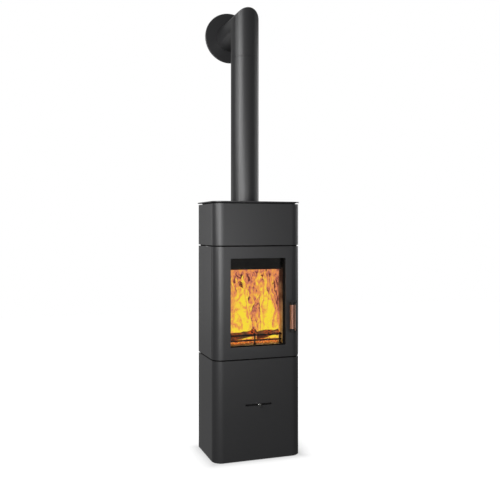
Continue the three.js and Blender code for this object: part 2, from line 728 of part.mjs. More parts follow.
// Heat-storing stones stand round the flue pipe: blocks with chamfers and upright grooves.
function stones() {
  const bottom = UPPER_BOTTOM + DECK + GAP;
  const frameInner = HALF - SHEET - FRAME_STANDOFF - FRAME_FLANGE;
  const sideInner = FLUE_RADIUS + STONE_CLEARANCE;
  const sideOuter = frameInner - 4;
  const sideFront = FLUE_Y - FLUE_RADIUS - 55;
  const sideRear = REAR - 12;
  const c = STONE_CHAMFER;
  const g = STONE_GROOVE;

  // A block seen from above, with grooves down its front face.
  const block = (x0, y0, x1, y1, grooves) => {
    const pitch = (x1 - x0) / (grooves + 1);
    const front = Array.from({ length: grooves }, (_, i) => {
      const x = x0 + (i + 1) * pitch;
      return [[x - g / 2, y0], [x - g / 2, y0 + g], [x + g / 2, y0 + g], [x + g / 2, y0]];
    }).flat();
    return polygon([
      [x0, y0 + c],
      [x0 + c, y0],
      ...front,
      [x1 - c, y0],
      [x1, y0 + c],
      [x1, y1 - c],
      [x1 - c, y1],
      [x0 + c, y1],
      [x0, y1 - c],
    ]);
  };
  const stand = (shape) => prism(shape, "z", bottom, bottom + STONE_HEIGHT);
  const left = block(-sideOuter, sideFront, -sideInner, sideRear, 3);
  const right = block(sideInner, sideFront, sideOuter, sideRear, 3);
  piece(groups.upper, "storage_stone_left", stand(left), storageStone);
  piece(groups.upper, "storage_stone_right", stand(right), storageStone);
  const frontRear = FLUE_Y - FLUE_RADIUS - STONE_CLEARANCE;
  const middle = block(-sideInner + 4, FRONT + 22, sideInner - 4, frontRear, 4);
  piece(groups.upper, "storage_stone_front", stand(middle), storageStone);
}

// ---------------------------------------------------------------- firebox

const PAN_BOTTOM = HEARTH_BOTTOM - PAN_CLEARANCE - PAN_HEIGHT;
const RAIL_INNER = PAN_HALF_WIDTH + PAN_CLEARANCE;

function fireboxParts() {
  const inner = FIREBOX_HALF - FIREBOX_WALL;
  const plan = rectangle(-FIREBOX_HALF, FIREBOX_FRONT, FIREBOX_HALF, FIREBOX_REAR, FIREBOX_WALL);
  const floor = FIREBOX_BOTTOM + FIREBOX_WALL;
  const lid = FIREBOX_TOP - FIREBOX_WALL;
  const outside = prism(plan, "z", floor + GAP, lid - GAP, 2);
  const inside = prism(
    rectangle(-inner, FIREBOX_FRONT + FIREBOX_WALL, inner, FIREBOX_REAR - FIREBOX_WALL),
    "z",
    FIREBOX_BOTTOM,
    FIREBOX_TOP,
  );
  const fireOpening = rectangle(-CHAMBER_HALF, HEARTH_TOP - 2, CHAMBER_HALF, LINTEL, 4);
  const panOpening = rectangle(
    -RAIL_INNER,
    PAN_BOTTOM - PAN_CLEARANCE / 2,
    RAIL_INNER,
    HEARTH_BOTTOM,
    2,
  );
  const throughFront = [FIREBOX_FRONT - 1, FIREBOX_FRONT + FIREBOX_WALL + 1];
  const openings = [fireOpening, panOpening].map((shape) => prism(shape, "y", ...throughFront, 2));
  const flueHole = bar("z", 0, FLUE_Y, COLLAR_BORE, lid - 1, FIREBOX_TOP + 1, ROUND);
  const lidPlate = cut(prism(plan, "z", lid, FIREBOX_TOP, 2), flueHole);
  piece(groups.firebox, "firebox_lid", lidPlate, blackSteel);
  const airHole = bar("z", 0, RISER_Y, AIR_PIPE - 4, FIREBOX_BOTTOM - 1, floor + 1, ROUND);
  const floorPlate = cut(prism(plan, "z", FIREBOX_BOTTOM, floor, 2), airHole);
  piece(groups.firebox, "firebox_floor", floorPlate, blackSteel);

  // Angle brackets that carry the upper baffle, welded to the side walls.
  const bracketTop = UPPER_BAFFLE_Z - GAP;
  const bracketY = [FIREBOX_FRONT + 30, REAR_LINER_BACK - UPPER_BAFFLE_REAR_GAP];
  const brackets = BOTH_SIDES.map(([, sign]) => {
    const angle = [
      [inner + 1, bracketTop],
      [inner - BRACKET_LEG, bracketTop],
      [inner - BRACKET_LEG, bracketTop - BRACKET_SHEET],
      [inner - BRACKET_SHEET, bracketTop - BRACKET_SHEET],
      [inner - BRACKET_SHEET, bracketTop - BRACKET_LEG],
      [inner + 1, bracketTop - BRACKET_LEG],
    ];
    return prism(polygon(angle.map(([x, z]) => [sign * x, z])), "y", ...bracketY);
  });
  const body = join(cut(outside, inside, ...openings), ...brackets);
  piece(groups.firebox, "firebox_body", body, blackSteel);

  firebricks();
  ashPan();
  baffles();
  logGuard();
}

function firebricks() {
  const sideRear = REAR_LINER_FACE - GAP;
  const bottom = HEARTH_TOP + GAP;
  BOTH_SIDES.forEach(([side, sign]) => {
    const edges = [sign * CHAMBER_HALF, sign * LINER_HALF].sort((a, b) => a - b);
    const board = rectangle(edges[0], LINER_FRONT, edges[1], sideRear, 1.5);
    piece(groups.firebox, `liner_${side}`, prism(board, "z", bottom, LINER_TOP, 1), firebrick);
  });
  const rearBoard = prism(
    rectangle(-LINER_HALF, REAR_LINER_FACE, LINER_HALF, REAR_LINER_BACK, 1.5),
    "z",
    bottom,
    LINER_TOP + BAFFLE,
    1,
  );
  // Secondary air comes through a row of holes in the rear board.
  const jets = Array.from({ length: JET_COUNT }, (_, i) => {
    const x = (i - (JET_COUNT - 1) / 2) * JET_PITCH;
    const z = HEARTH_TOP + JET_HEIGHT;
    return bar("y", x, z, JET_RADIUS, REAR_LINER_FACE - 1, REAR_LINER_BACK + 1, 4);
  });
  piece(groups.firebox, "liner_rear", cut(rearBoard, ...jets), firebrick);

  const front = GRATE_CENTRE_Y - GRATE_DEPTH / 2;
  const rear = GRATE_CENTRE_Y + GRATE_DEPTH / 2;
  const slab = prism(
    rectangle(-LINER_HALF, LINER_FRONT, LINER_HALF, REAR_LINER_BACK, 1.5),
    "z",
    HEARTH_BOTTOM,
    HEARTH_TOP,
    1,
  );
  const seat = prism(
    rectangle(-GRATE_HALF_WIDTH, front, GRATE_HALF_WIDTH, rear, 6),
    "z",
    HEARTH_TOP - GRATE,
    HEARTH_TOP + 1,
    3,
  );
  const throat = prism(
    rectangle(
      -GRATE_HALF_WIDTH + GRATE_LEDGE,
      front + GRATE_LEDGE,
      GRATE_HALF_WIDTH - GRATE_LEDGE,
      rear - GRATE_LEDGE,
      4,
    ),
    "z",
    HEARTH_BOTTOM - 1,
    HEARTH_TOP,
    2,
  );
  piece(groups.firebox, "hearth_slab", cut(slab, seat, throat), firebrick);

  const grateHalf = GRATE_HALF_WIDTH - GAP;
  const plate = prism(
    rectangle(-grateHalf, front + GAP, grateHalf, rear - GAP, 6),
    "z",
    HEARTH_TOP - GRATE + GAP,
    HEARTH_TOP,
    3,
  );
  const slotPitch = (2 * (GRATE_HALF_WIDTH - GRATE_LEDGE - 4)) / GRATE_SLOTS;
  const slots = Array.from({ length: GRATE_SLOTS }, (_, i) => {
    const x = (i - (GRATE_SLOTS - 1) / 2) * slotPitch;
    const slot = rectangle(
      x - GRATE_SLOT_WIDTH / 2,
      front + GRATE_LEDGE + 4,
      x + GRATE_SLOT_WIDTH / 2,
      rear - GRATE_LEDGE - 4,
      GRATE_SLOT_WIDTH / 2 - 0.2,
    );
    return prism(slot, "z", HEARTH_TOP - GRATE - 1, HEARTH_TOP + 1, 2);
  });
  piece(groups.firebox, "grate", cut(plate, ...slots), castIron);
}

function ashPan() {
  const railFront = LINER_FRONT;
  const railRear = LINER_FRONT + PAN_DEPTH + 20;
  const bottom = FIREBOX_BOTTOM + FIREBOX_WALL + GAP;
  const ledge = PAN_BOTTOM - GAP;
  BOTH_SIDES.forEach(([side, sign]) => {
    const section = polygon(
      [
        [RAIL_INNER + 3, bottom],
        [RAIL_INNER + 3, HEARTH_BOTTOM - GAP],
        [RAIL_INNER, HEARTH_BOTTOM - GAP],
        [RAIL_INNER, ledge],
        [RAIL_INNER - PAN_RAIL_LEDGE, ledge],
        [RAIL_INNER - PAN_RAIL_LEDGE, ledge - 2],
        [RAIL_INNER, ledge - 2],
        [RAIL_INNER, bottom],
      ].map(([x, z]) => [sign * x, z]),
    );
    piece(groups.firebox, `ash_pan_rail_${side}`, prism(section, "y", railFront, railRear), blackSteel);
  });

  const panFront = LINER_FRONT + 2;
  const outside = rectangle(-PAN_HALF_WIDTH, panFront, PAN_HALF_WIDTH, panFront + PAN_DEPTH, 6);
  const inside = rectangle(
    -PAN_HALF_WIDTH + PAN_SHEET,
    panFront + PAN_SHEET,
    PAN_HALF_WIDTH - PAN_SHEET,
    panFront + PAN_DEPTH - PAN_SHEET,
    4.5,
  );
  const top = PAN_BOTTOM + PAN_HEIGHT;
  const tray = cut(
    prism(outside, "z", PAN_BOTTOM, top, 3),
    prism(inside, "z", PAN_BOTTOM + PAN_SHEET, top + 1, 3),
  );
  const lip = rectangle(-40, panFront - 9, 40, panFront + PAN_SHEET / 2, 4);
  piece(groups.firebox, "ash_pan", join(tray, prism(lip, "z", top - PAN_SHEET, top, 2)), blackSteel);
}

function baffles() {
  const lower = prism(
    rectangle(-LINER_HALF, LINER_FRONT + BAFFLE_THROAT, LINER_HALF, REAR_LINER_FACE - GAP, 1.5),
    "z",
    LINER_TOP + GAP,
    LINER_TOP + GAP + BAFFLE,
    1,
  );
  piece(groups.firebox, "baffle_lower", lower, firebrick);

  const upperRear = REAR_LINER_BACK - UPPER_BAFFLE_REAR_GAP;
  const upper = prism(
    rectangle(-LINER_HALF, LINER_FRONT, LINER_HALF, upperRear, 5),
    "z",
    UPPER_BAFFLE_Z,
    UPPER_BAFFLE_Z + UPPER_BAFFLE,
    2,
  );
  piece(groups.firebox, "baffle_upper", upper, blackSteel);

  // Folded channel behind the lintel that turns the washing air down over the glass.
  const y = LINER_FRONT;
  const sheet = DEFLECTOR_SHEET;
  const reach = y + DEFLECTOR_REACH;
  const channel = LINTEL + DEFLECTOR_RISE;
  const lip = DEFLECTOR_LIP;
  const deflector = polygon([
    [y, channel + DEFLECTOR_FLANGE],
    [y, channel],
    [reach, channel],
    [reach, LINTEL + sheet],
    [reach - lip, LINTEL + sheet - lip],
    [reach - lip + 0.7 * sheet, LINTEL + 0.3 * sheet - lip],
    [reach + sheet, LINTEL + sheet / 2],
    [reach + sheet, channel + sheet],
    [y + sheet, channel + sheet],
    [y + sheet, channel + DEFLECTOR_FLANGE],
  ]);
  const halfLength = CHAMBER_HALF - 3;
  piece(groups.firebox, "air_wash_deflector", prism(deflector, "x", -halfLength, halfLength), blackSteel);
}

function logGuard() {
  const y = FIREBOX_FRONT + GUARD_SETBACK;
  const floor = HEARTH_TOP + GAP;
  const end = GUARD_POST_SPACING + GUARD_ROD_OVERHANG;
  const rods = [GUARD_LOWER, GUARD_UPPER].map((height) =>
    bar("x", y, HEARTH_TOP + height, GUARD_ROD, -end, end),
  );
  const posts = [-1, 0, 1].map((place) => {
    const neck = GUARD_POST * 0.6;
    const top = floor + GUARD_POST_HEIGHT;
    return turned(
      [
        [0, floor],
        [GUARD_FOOT, floor],
        [GUARD_FOOT, floor + 2],
        [GUARD_POST, floor + 5],
        [GUARD_POST, top - 8],
        [neck, top - 6],
        [GUARD_POST, top - 3],
        [neck, top],
        [0, top],
      ],
      place * GUARD_POST_SPACING,
      y,
      10,
    );
  });
  piece(groups.firebox, "log_guard", join(rods[0], rods[1], ...posts), castIron);
}

// ---------------------------------------------------------------- flue

function flueParts() {
  const base = FIREBOX_TOP + GAP;
  const flangeTop = base + COLLAR_FLANGE;
  const collar = turned(
    [
      [COLLAR_BORE, base],
      [FLUE_RADIUS, base],
      [FLUE_RADIUS, flangeTop],
      [COLLAR_RADIUS, flangeTop],
      [COLLAR_RADIUS, base + COLLAR_HEIGHT],
      [COLLAR_BORE, base + COLLAR_HEIGHT],
      [COLLAR_BORE, base],
    ],
    0,
    FLUE_Y,
  );
  piece(groups.flue, "flue_collar", collar, castIron);

  // The pipe stands on the collar's flange. Its upper end is drawn in and fits the elbow.
  const neckRadius = FLUE_BORE - GAP;
  const neckBore = neckRadius - FLUE_WALL;
  const pipe = turned(
    [
      [FLUE_BORE, flangeTop + GAP],
      [FLUE_RADIUS, flangeTop + GAP],
      [FLUE_RADIUS, PIPE_JOINT_Z],
      [neckRadius, PIPE_JOINT_Z + 1],
      [neckRadius, PIPE_JOINT_Z + PIPE_NECK],
      [neckBore, PIPE_JOINT_Z + PIPE_NECK],
      [neckBore, PIPE_JOINT_Z - 3],
      [FLUE_BORE, PIPE_JOINT_Z - 6],
      [FLUE_BORE, flangeTop + GAP],
    ],
    0,
    FLUE_Y,
  );
  piece(groups.flue, "flue_pipe", pipe, paint);
  piece(groups.flue, "flue_elbow", mitredElbow(), paint);

  const hole = FLUE_RADIUS + GAP;
  const face = WALL_Y - ROSETTE_RISE;
  const rosette = turnedAlongY(
    [
      [hole, face],
      [ROSETTE_RADIUS - 3, face],
      [ROSETTE_RADIUS, face + 3],
      [ROSETTE_RADIUS, WALL_Y],
      [ROSETTE_RADIUS - ROSETTE_SHEET, WALL_Y],
      [ROSETTE_RADIUS - ROSETTE_SHEET, face + ROSETTE_SHEET],
      [hole + ROSETTE_SHEET, face + ROSETTE_SHEET],
      [hole + ROSETTE_SHEET, WALL_Y],
      [hole, WALL_Y],
      [hole, face],
    ],
    0,
    ELBOW_Z,
  );
  piece(groups.flue, "wall_rosette", rosette, paint);
}

// Two straight tubes that meet at a 45 degree cut: the skin runs up the outside, over the
// cut, along to the wall, and back on the inside.
function mitredElbow() {
  const sides = 2 * ROUND;
  const ring = (radius, place) =>
    Array.from({ length: sides }, (_, k) => {
      const angle = (2 * Math.PI * k) / sides;
      return place(radius * Math.cos(angle), radius * Math.sin(angle));
    });
  const foot = (x, back) => new THREE.Vector3(x, FLUE_Y + back, PIPE_JOINT_Z + 1 + GAP);
  const mitre = (x, back) => new THREE.Vector3(x, FLUE_Y + back, ELBOW_Z - back);
  const end = (x, back) => new THREE.Vector3(x, WALL_Y, ELBOW_Z - back);
  const places = [foot, mitre, end];
  const outer = places.map((place) => ring(FLUE_RADIUS, place));
  const inner = places.map((place) => ring(FLUE_BORE, place)).reverse();
  return loft([...outer, ...inner], true);
}

// ---------------------------------------------------------------- air supply

const SHELF_BOTTOM = SLIDE_TOP + GAP;

// Mid height of the fresh-air spigot: the middle of the air box's lower chamber.
function spigotZ() {
  return (AIR_BOX_BOTTOM + SHELF_BOTTOM) / 2;
}

function portPrisms(offset, from, to) {
  const middle = (SLIDE_FRONT + SLIDE_REAR) / 2;
  return [-0.5, 0.5].map((place) => {
    const x = place * PORT_PITCH + offset;
    const port = rectangle(
      x - PORT_WIDTH / 2,
      middle - PORT_DEPTH / 2,
      x + PORT_WIDTH / 2,
      middle + PORT_DEPTH / 2,
      4,
    );
    return prism(port, "z", from, to, 2);
  });
}

function airParts() {
  const t = AIR_SHEET;
  const shelf = [SHELF_BOTTOM, SHELF_BOTTOM + t];
  const outside = prism(
    rectangle(-AIR_BOX_HALF, AIR_BOX_FRONT, AIR_BOX_HALF, AIR_BOX_REAR, t),
    "z",
    AIR_BOX_BOTTOM,
    AIR_BOX_TOP,
    1,
  );
  const plan = rectangle(-AIR_BOX_HALF + t, AIR_BOX_FRONT + t, AIR_BOX_HALF - t, AIR_BOX_REAR - t);
  const lowerChamber = prism(plan, "z", AIR_BOX_BOTTOM + t, shelf[0]);
  const upperChamber = prism(plan, "z", shelf[1], AIR_BOX_TOP - t);
  const leverSlot = prism(
    rectangle(
      -AIR_TRAVEL - LEVER_HALF - 2,
      SLIDE_BOTTOM - 1,
      AIR_TRAVEL + LEVER_HALF + 2,
      SHELF_BOTTOM,
    ),
    "y",
    AIR_BOX_FRONT - 1,
    AIR_BOX_FRONT + t + 1,
  );
  const spigotHole = bar("y", 0, spigotZ(), AIR_PIPE - t, AIR_BOX_REAR - t - 1, AIR_BOX_REAR + 1, ROUND);
  const riserHole = bar("z", 0, RISER_Y, AIR_PIPE - t, AIR_BOX_TOP - t - 1, AIR_BOX_TOP + 1, ROUND);
  const ports = portPrisms(0, shelf[0] - 1, shelf[1] + 1);

  // The slide runs between the shelf and two ledges.
  const ledgeTop = SLIDE_BOTTOM - GAP;
  const frontLedge = polygon([
    [AIR_BOX_FRONT + t - 1, ledgeTop],
    [AIR_BOX_FRONT + t - 1, ledgeTop - 14],
    [AIR_BOX_FRONT + t + 2, ledgeTop - 14],
    [AIR_BOX_FRONT + t + 2, ledgeTop - 2],
    [AIR_BOX_FRONT + t + SLIDE_LEDGE, ledgeTop - 2],
    [AIR_BOX_FRONT + t + SLIDE_LEDGE, ledgeTop],
  ]);
  const rearLedge = polygon([
    [SLIDE_REAR + GAP, shelf[0] + 1],
    [SLIDE_REAR + GAP, ledgeTop],
    [SLIDE_REAR - SLIDE_LEDGE, ledgeTop],
    [SLIDE_REAR - SLIDE_LEDGE, ledgeTop - 2],
    [SLIDE_REAR + GAP + 2, ledgeTop - 2],
    [SLIDE_REAR + GAP + 2, shelf[0] + 1],
  ]);
  const ledgeHalf = AIR_BOX_HALF - t - 1;
  const ledges = [frontLedge, rearLedge].map((shape) => prism(shape, "x", -ledgeHalf, ledgeHalf));
  const box = cut(outside, lowerChamber, upperChamber, leverSlot, spigotHole, riserHole, ...ports);
  piece(groups.base, "air_box", join(box, ...ledges), blackSteel);

  const riserFoot = AIR_BOX_TOP + GAP;
  const riser = turned(
    [
      [AIR_PIPE - t, riserFoot],
      [AIR_PIPE + AIR_PIPE_FLANGE, riserFoot],
      [AIR_PIPE + AIR_PIPE_FLANGE, riserFoot + t],
      [AIR_PIPE, riserFoot + t],
      [AIR_PIPE, DOOR_BOTTOM],
      [AIR_PIPE - t, DOOR_BOTTOM],
      [AIR_PIPE - t, riserFoot],
    ],
    0,
    RISER_Y,
    32,
  );
  piece(groups.base, "air_riser", riser, blackSteel);

  const spigotFoot = AIR_BOX_REAR + GAP;
  const spigotEnd = spigotFoot + SPIGOT_LENGTH;
  const spigot = turnedAlongY(
    [
      [AIR_PIPE - t, spigotFoot],
      [AIR_PIPE + AIR_PIPE_FLANGE, spigotFoot],
      [AIR_PIPE + AIR_PIPE_FLANGE, spigotFoot + t],
      [AIR_PIPE, spigotFoot + t],
      [AIR_PIPE, spigotEnd - 12],
      [AIR_PIPE + 1.5, spigotEnd - 9],
      [AIR_PIPE, spigotEnd - 6],
      [AIR_PIPE, spigotEnd],
      [AIR_PIPE - t, spigotEnd],
      [AIR_PIPE - t, spigotFoot],
    ],
    0,
    spigotZ(),
    32,
  );
  piece(groups.base, "air_inlet_spigot", spigot, blackSteel);

  // A folded stand carries the air box on the base plate.
  const floor = BASE_THICKNESS + GAP;
  const top = AIR_BOX_BOTTOM - GAP;
  const s = STAND_SHEET;
  const stand = polygon([
    [-STAND_HALF - STAND_FOOT, floor],
    [-STAND_HALF, floor],
    [-STAND_HALF, top - s],
    [STAND_HALF, top - s],
    [STAND_HALF, floor],
    [STAND_HALF + STAND_FOOT, floor],
    [STAND_HALF + STAND_FOOT, floor + s],
    [STAND_HALF + s, floor + s],
    [STAND_HALF + s, top],
    [-STAND_HALF - s, top],
    [-STAND_HALF - s, floor + s],
    [-STAND_HALF - STAND_FOOT, floor + s],
  ]);
  const standFront = AIR_BOX_FRONT + 15;
  const legHoles = prism(
    rectangle(standFront + 30, floor + 35, standFront + STAND_DEPTH - 30, top - 35, 15),
    "x",
    -HALF,
    HALF,
    3,
  );
  const standBody = cut(prism(stand, "y", standFront, standFront + STAND_DEPTH), legHoles);
  piece(groups.base, "air_box_stand", standBody, blackSteel);
}

function airControl() {
  const plate = prism(
    rectangle(-SLIDE_HALF, SLIDE_FRONT, SLIDE_HALF, SLIDE_REAR, 2),
    "z",
    SLIDE_BOTTOM,
    SLIDE_TOP,
    1,
  );
  const ports = portPrisms(PORT_WIDTH / 2, SLIDE_BOTTOM - 1, SLIDE_TOP + 1);
  const leverFront = FRONT + SHEET + 3;
  const knobRear = FRONT - KNOB_PROUD;
  const studEnd = knobRear - KNOB_LENGTH * 0.6;
  const lever = prism(
    rectangle(-LEVER_HALF, leverFront, LEVER_HALF, SLIDE_FRONT + 5, 2),
    "z",
    SLIDE_BOTTOM,
    SLIDE_TOP,
    1,
  );
  const stud = bar("y", 0, SLOT_Z, STUD_RADIUS, studEnd, leverFront + 6);
  piece(groups.airControl, "air_slide", join(cut(plate, ...ports), lever, stud), plainSteel);

  // A turned knob with a blind bore that holds the stud.
  const front = knobRear - KNOB_LENGTH;
  const bore = STUD_RADIUS + GAP;
  const knob = turnedAlongY(
    [
      [0, front],
      [KNOB_RADIUS - 1.5, front],
      [KNOB_RADIUS, front + 1.5],
      [KNOB_RADIUS, knobRear - 4],
      [KNOB_RADIUS - 1.5, knobRear - 2.5],
      [KNOB_RADIUS - 1.5, knobRear],
      [bore, knobRear],
      [bore, studEnd - GAP],
      [0, studEnd - GAP],
    ],
    0,
    SLOT_Z,
    24,
  );
  piece(groups.airControl, "air_knob", knob, polishedSteel);
}

// ---------------------------------------------------------------- fire door

// A rectangular ring round the window, between two offsets from its edge.
function windowRing(inner, outer, from, to) {
  const at = (offset, radius) =>
    rectangle(
      -WINDOW_HALF - offset,
      WINDOW_BOTTOM - offset,
      WINDOW_HALF + offset,
      WINDOW_TOP + offset,
      radius,
    );
  const hole = prism(at(inner, WINDOW_CORNER), "y", from - 1, to + 1, 1);
  return cut(prism(at(outer, WINDOW_CORNER + 1), "y", from, to, 1), hole);
}

const HINGES = [
  ["lower", DOOR_BOTTOM + HINGE_FROM_EDGE, 1],
  ["upper", DOOR_TOP - HINGE_FROM_EDGE, -1],
];

function doorParts() {
  const skin = prism(wrapShape(0), "z", DOOR_BOTTOM + GAP, DOOR_TOP - GAP);
  const window = rectangle(-WINDOW_HALF, WINDOW_BOTTOM, WINDOW_HALF, WINDOW_TOP, WINDOW_CORNER);
  const windowHole = prism(window, "y", FRONT - 1, FRONT + SHEET + 1, 1);
  const caps = [DOOR_BOTTOM + GAP + CAP_SETBACK, DOOR_TOP - GAP - CAP_SETBACK - SHEET].map((z) =>
    prism(deckShape(SHEET - 1, 0), "z", z, z + SHEET),
  );
  const behind = prism(rectangle(-HALF - 1, DOOR_EDGE_Y, HALF + 1, 1), "z", DOOR_BOTTOM, DOOR_TOP);
  const armSlots = [LOWER_ARM, UPPER_ARM].map((z) =>
    prism(
      rectangle(SHAFT_X - 17, z - 2, SHAFT_X + 13, z + ARM_THICKNESS + 2, 2),
      "y",
      FRONT - 1,
      FRONT + LATCH_FROM_FRONT - 6,
      1,
    ),
  );
  const front = cut(join(skin, ...caps), behind, windowHole, ...armSlots);
  piece(groups.door, "door_front", front, paint);

  piece(groups.door, "door_frame", doorFrame(), blackSteel);
  const sealFront = FRAME_PLATE_REAR + GAP;
  const glassFront = sealFront + GLASS_SEAL + GAP;
  const glassRear = glassFront + GLASS;
  piece(groups.door, "glass_gasket", windowRing(1.5, GLASS_LAP, sealFront, sealFront + GLASS_SEAL), ropeSeal);
  const pane = rectangle(
    -WINDOW_HALF - GLASS_LAP,
    WINDOW_BOTTOM - GLASS_LAP,
    WINDOW_HALF + GLASS_LAP,
    WINDOW_TOP + GLASS_LAP,
    3,
  );
  piece(groups.door, "door_glass", prism(pane, "y", glassFront, glassRear, 2), ceramicGlass);

  const retainerFace = glassRear + GAP;
  const retainer = join(
    windowRing(1.5, GLASS_LAP + 1 + RETAINER, retainerFace, retainerFace + RETAINER),
    windowRing(GLASS_LAP + 1, GLASS_LAP + 1 + RETAINER, sealFront, retainerFace + 1),
  );
  piece(groups.door, "glass_retainer", retainer, blackSteel);
  piece(groups.door, "door_seal", doorSeal(), ropeSeal);
}

// Reveal, rear plate, hinge ears and latch bearings of the door, welded into one frame.
function doorFrame() {
  const reveal = windowRing(0, DOOR_FRAME_SHEET, FRONT + SHEET + GAP, FRAME_PLATE_REAR - 1);
  const border = DOOR_FRAME_BORDER;
  const plateHalf = WINDOW_HALF + border;
  const plateBottom = DOOR_BOTTOM + GAP + CAP_SETBACK + SHEET + 1;
  const plateTop = WINDOW_TOP + border;
  const plate = prism(
    rectangle(-plateHalf, plateBottom, plateHalf, plateTop, 3),
    "y",
    FRAME_PLATE_FRONT,
    FRAME_PLATE_REAR,
    1,
  );
  const windowHole = prism(
    rectangle(-WINDOW_HALF, WINDOW_BOTTOM, WINDOW_HALF, WINDOW_TOP, WINDOW_CORNER),
    "y",
    FRAME_PLATE_FRONT - 1,
    FRAME_PLATE_REAR + 1,
    1,
  );
  // Ears reach from the plate to the hinge pins.
  const ears = HINGES.map(([, z, up]) => {
    const near = z + up * (HINGE_PLATE / 2 + GAP);
    const far = near + up * HINGE_PLATE;
    const levels = [Math.min(near, far), Math.max(near, far)];
    const arm = prism(
      rectangle(HINGE_X, FRAME_PLATE_REAR - 9, -plateHalf + 1, FRAME_PLATE_REAR),
      "z",
      ...levels,
    );
    const eye = bar("z", HINGE_X, HINGE_Y, HINGE_LUG, ...levels);
    const bore = bar("z", HINGE_X, HINGE_Y, HINGE_PIN + RUNNING_GAP, levels[0] - 1, levels[1] + 1);
    return cut(join(arm, eye), bore);
  });
  // Bearing plates hold the latch shaft.
  const bearings = [-1, 1].map((place) => {
    const z = HANDLE_MID + place * BEARING_SPREAD;
    const eyeRadius = LATCH_SHAFT + 4;
    const tab = polygon([
      [plateHalf - 1, FRAME_PLATE_REAR],
      [plateHalf - 1, FRAME_PLATE_FRONT - 4],
      [SHAFT_X, SHAFT_Y - eyeRadius],
      [SHAFT_X, SHAFT_Y + eyeRadius],
      [plateHalf + 2, FRAME_PLATE_REAR],
    ]);
    const block = join(
      prism(tab, "z", z - 3, z + 3),
      bar("z", SHAFT_X, SHAFT_Y, eyeRadius, z - 3, z + 3),
    );
    return cut(block, bar("z", SHAFT_X, SHAFT_Y, LATCH_SHAFT + RUNNING_GAP, z - 4, z + 4));
  });
  return join(cut(plate, windowHole), reveal, ...ears, ...bearings);
}

// The rope seal follows a rounded rectangle between the door frame and the firebox.
function doorSeal() {
  const y = FIREBOX_FRONT - GAP - SEAL_RADIUS;
  const half = WINDOW_HALF + SEAL_BORDER;
  const bottom = DOOR_BOTTOM + SEAL_FLOOR;
  const top = WINDOW_TOP + SEAL_BORDER;
  const radius = 14;
  const steps = 4;
  const corners = [
    [half - radius, bottom + radius, -90],
    [half - radius, top - radius, 0],
    [-half + radius, top - radius, 90],
    [-half + radius, bottom + radius, 180],
  ];
  const rings = corners.flatMap(([x, z, start]) =>
    Array.from({ length: steps + 1 }, (_, i) => {
      const angle = THREE.MathUtils.degToRad(start + (90 * i) / steps);
      const outward = new THREE.Vector3(Math.cos(angle), 0, Math.sin(angle));
      const place = new THREE.Vector3(x, y, z).addScaledVector(outward, radius);
      return sectionAt(place, outward, Y_AXIS, SEAL_RADIUS, 8);
    }),
  );
  return loft(rings, true);
}

// Brackets on the firebox with the upright pins that the door hangs on.
function hingeBrackets() {
  HINGES.forEach(([name, z, up]) => {
    const low = z - HINGE_PLATE / 2;
    const high = z + HINGE_PLATE / 2;
    const wall = -FIREBOX_HALF - GAP;
    const arm = polygon([
      [HINGE_X, HINGE_Y - 6],
      [wall - 12, HINGE_Y - 6],
      [wall - 5, HINGE_Y + 2],
      [wall, FIREBOX_FRONT + FIREBOX_WALL],
      [wall, FIREBOX_FRONT + 50],
      [wall - 5, FIREBOX_FRONT + 50],
      [wall - 10, FIREBOX_FRONT + 20],
      [wall - 16, HINGE_Y + 6],
      [HINGE_X, HINGE_Y + 6],
    ]);
    const plate = join(prism(arm, "z", low, high), bar("z", HINGE_X, HINGE_Y, HINGE_LUG, low, high));
    const tab = prism(
      rectangle(FIREBOX_FRONT + FIREBOX_WALL + 4, z - 18, FIREBOX_FRONT + 50, z + 18, 3),
      "x",
      wall - 5,
      wall,
      1,
    );
    const pinReach = HINGE_PLATE * 1.5 + GAP + 6;
    const pin = bar("z", HINGE_X, HINGE_Y, HINGE_PIN, ...[z, z + up * pinReach].sort((a, b) => a - b));
    piece(groups.firebox, `hinge_bracket_${name}`, join(plate, tab, pin), blackSteel);
  });
}

// ---------------------------------------------------------------- latch and handle

function latchKeeper() {
  const strikerX = SHAFT_X + LATCH_FINGER_TIP + STRIKER_GAP + STRIKER;
  const strikerY = SHAFT_Y + LATCH_FINGER + 1;
  const wall = FIREBOX_HALF + GAP;
  const span = LATCH_FINGER_HEIGHT / 2 + 5;
  const fork = polygon([
    [wall, FIREBOX_FRONT + FIREBOX_WALL],
    [wall + 8, FIREBOX_FRONT + FIREBOX_WALL],
    [strikerX, strikerY - STRIKER],
    [strikerX, strikerY + STRIKER],
    [wall + 14, FIREBOX_FRONT + 12],
    [wall + 5, FIREBOX_FRONT + 30],
    [wall, FIREBOX_FRONT + 30],
  ]);
  const plates = [-1, 1].map((place) => {
    const middle = HANDLE_MID + place * (span + 2);
    return join(
      prism(fork, "z", middle - 2, middle + 2),
      bar("z", strikerX, strikerY, STRIKER, middle - 2, middle + 2, 8),
    );
  });
  const striker = bar("z", strikerX, strikerY, STRIKER, HANDLE_MID - span - 1, HANDLE_MID + span + 1, 8);
  const tab = prism(
    rectangle(FIREBOX_FRONT + FIREBOX_WALL + 4, HANDLE_MID - 26, FIREBOX_FRONT + 50, HANDLE_MID + 26, 3),
    "x",
    wall,
    wall + 5,
    1,
  );
  piece(groups.firebox, "latch_keeper", join(tab, striker, ...plates), plainSteel);
}

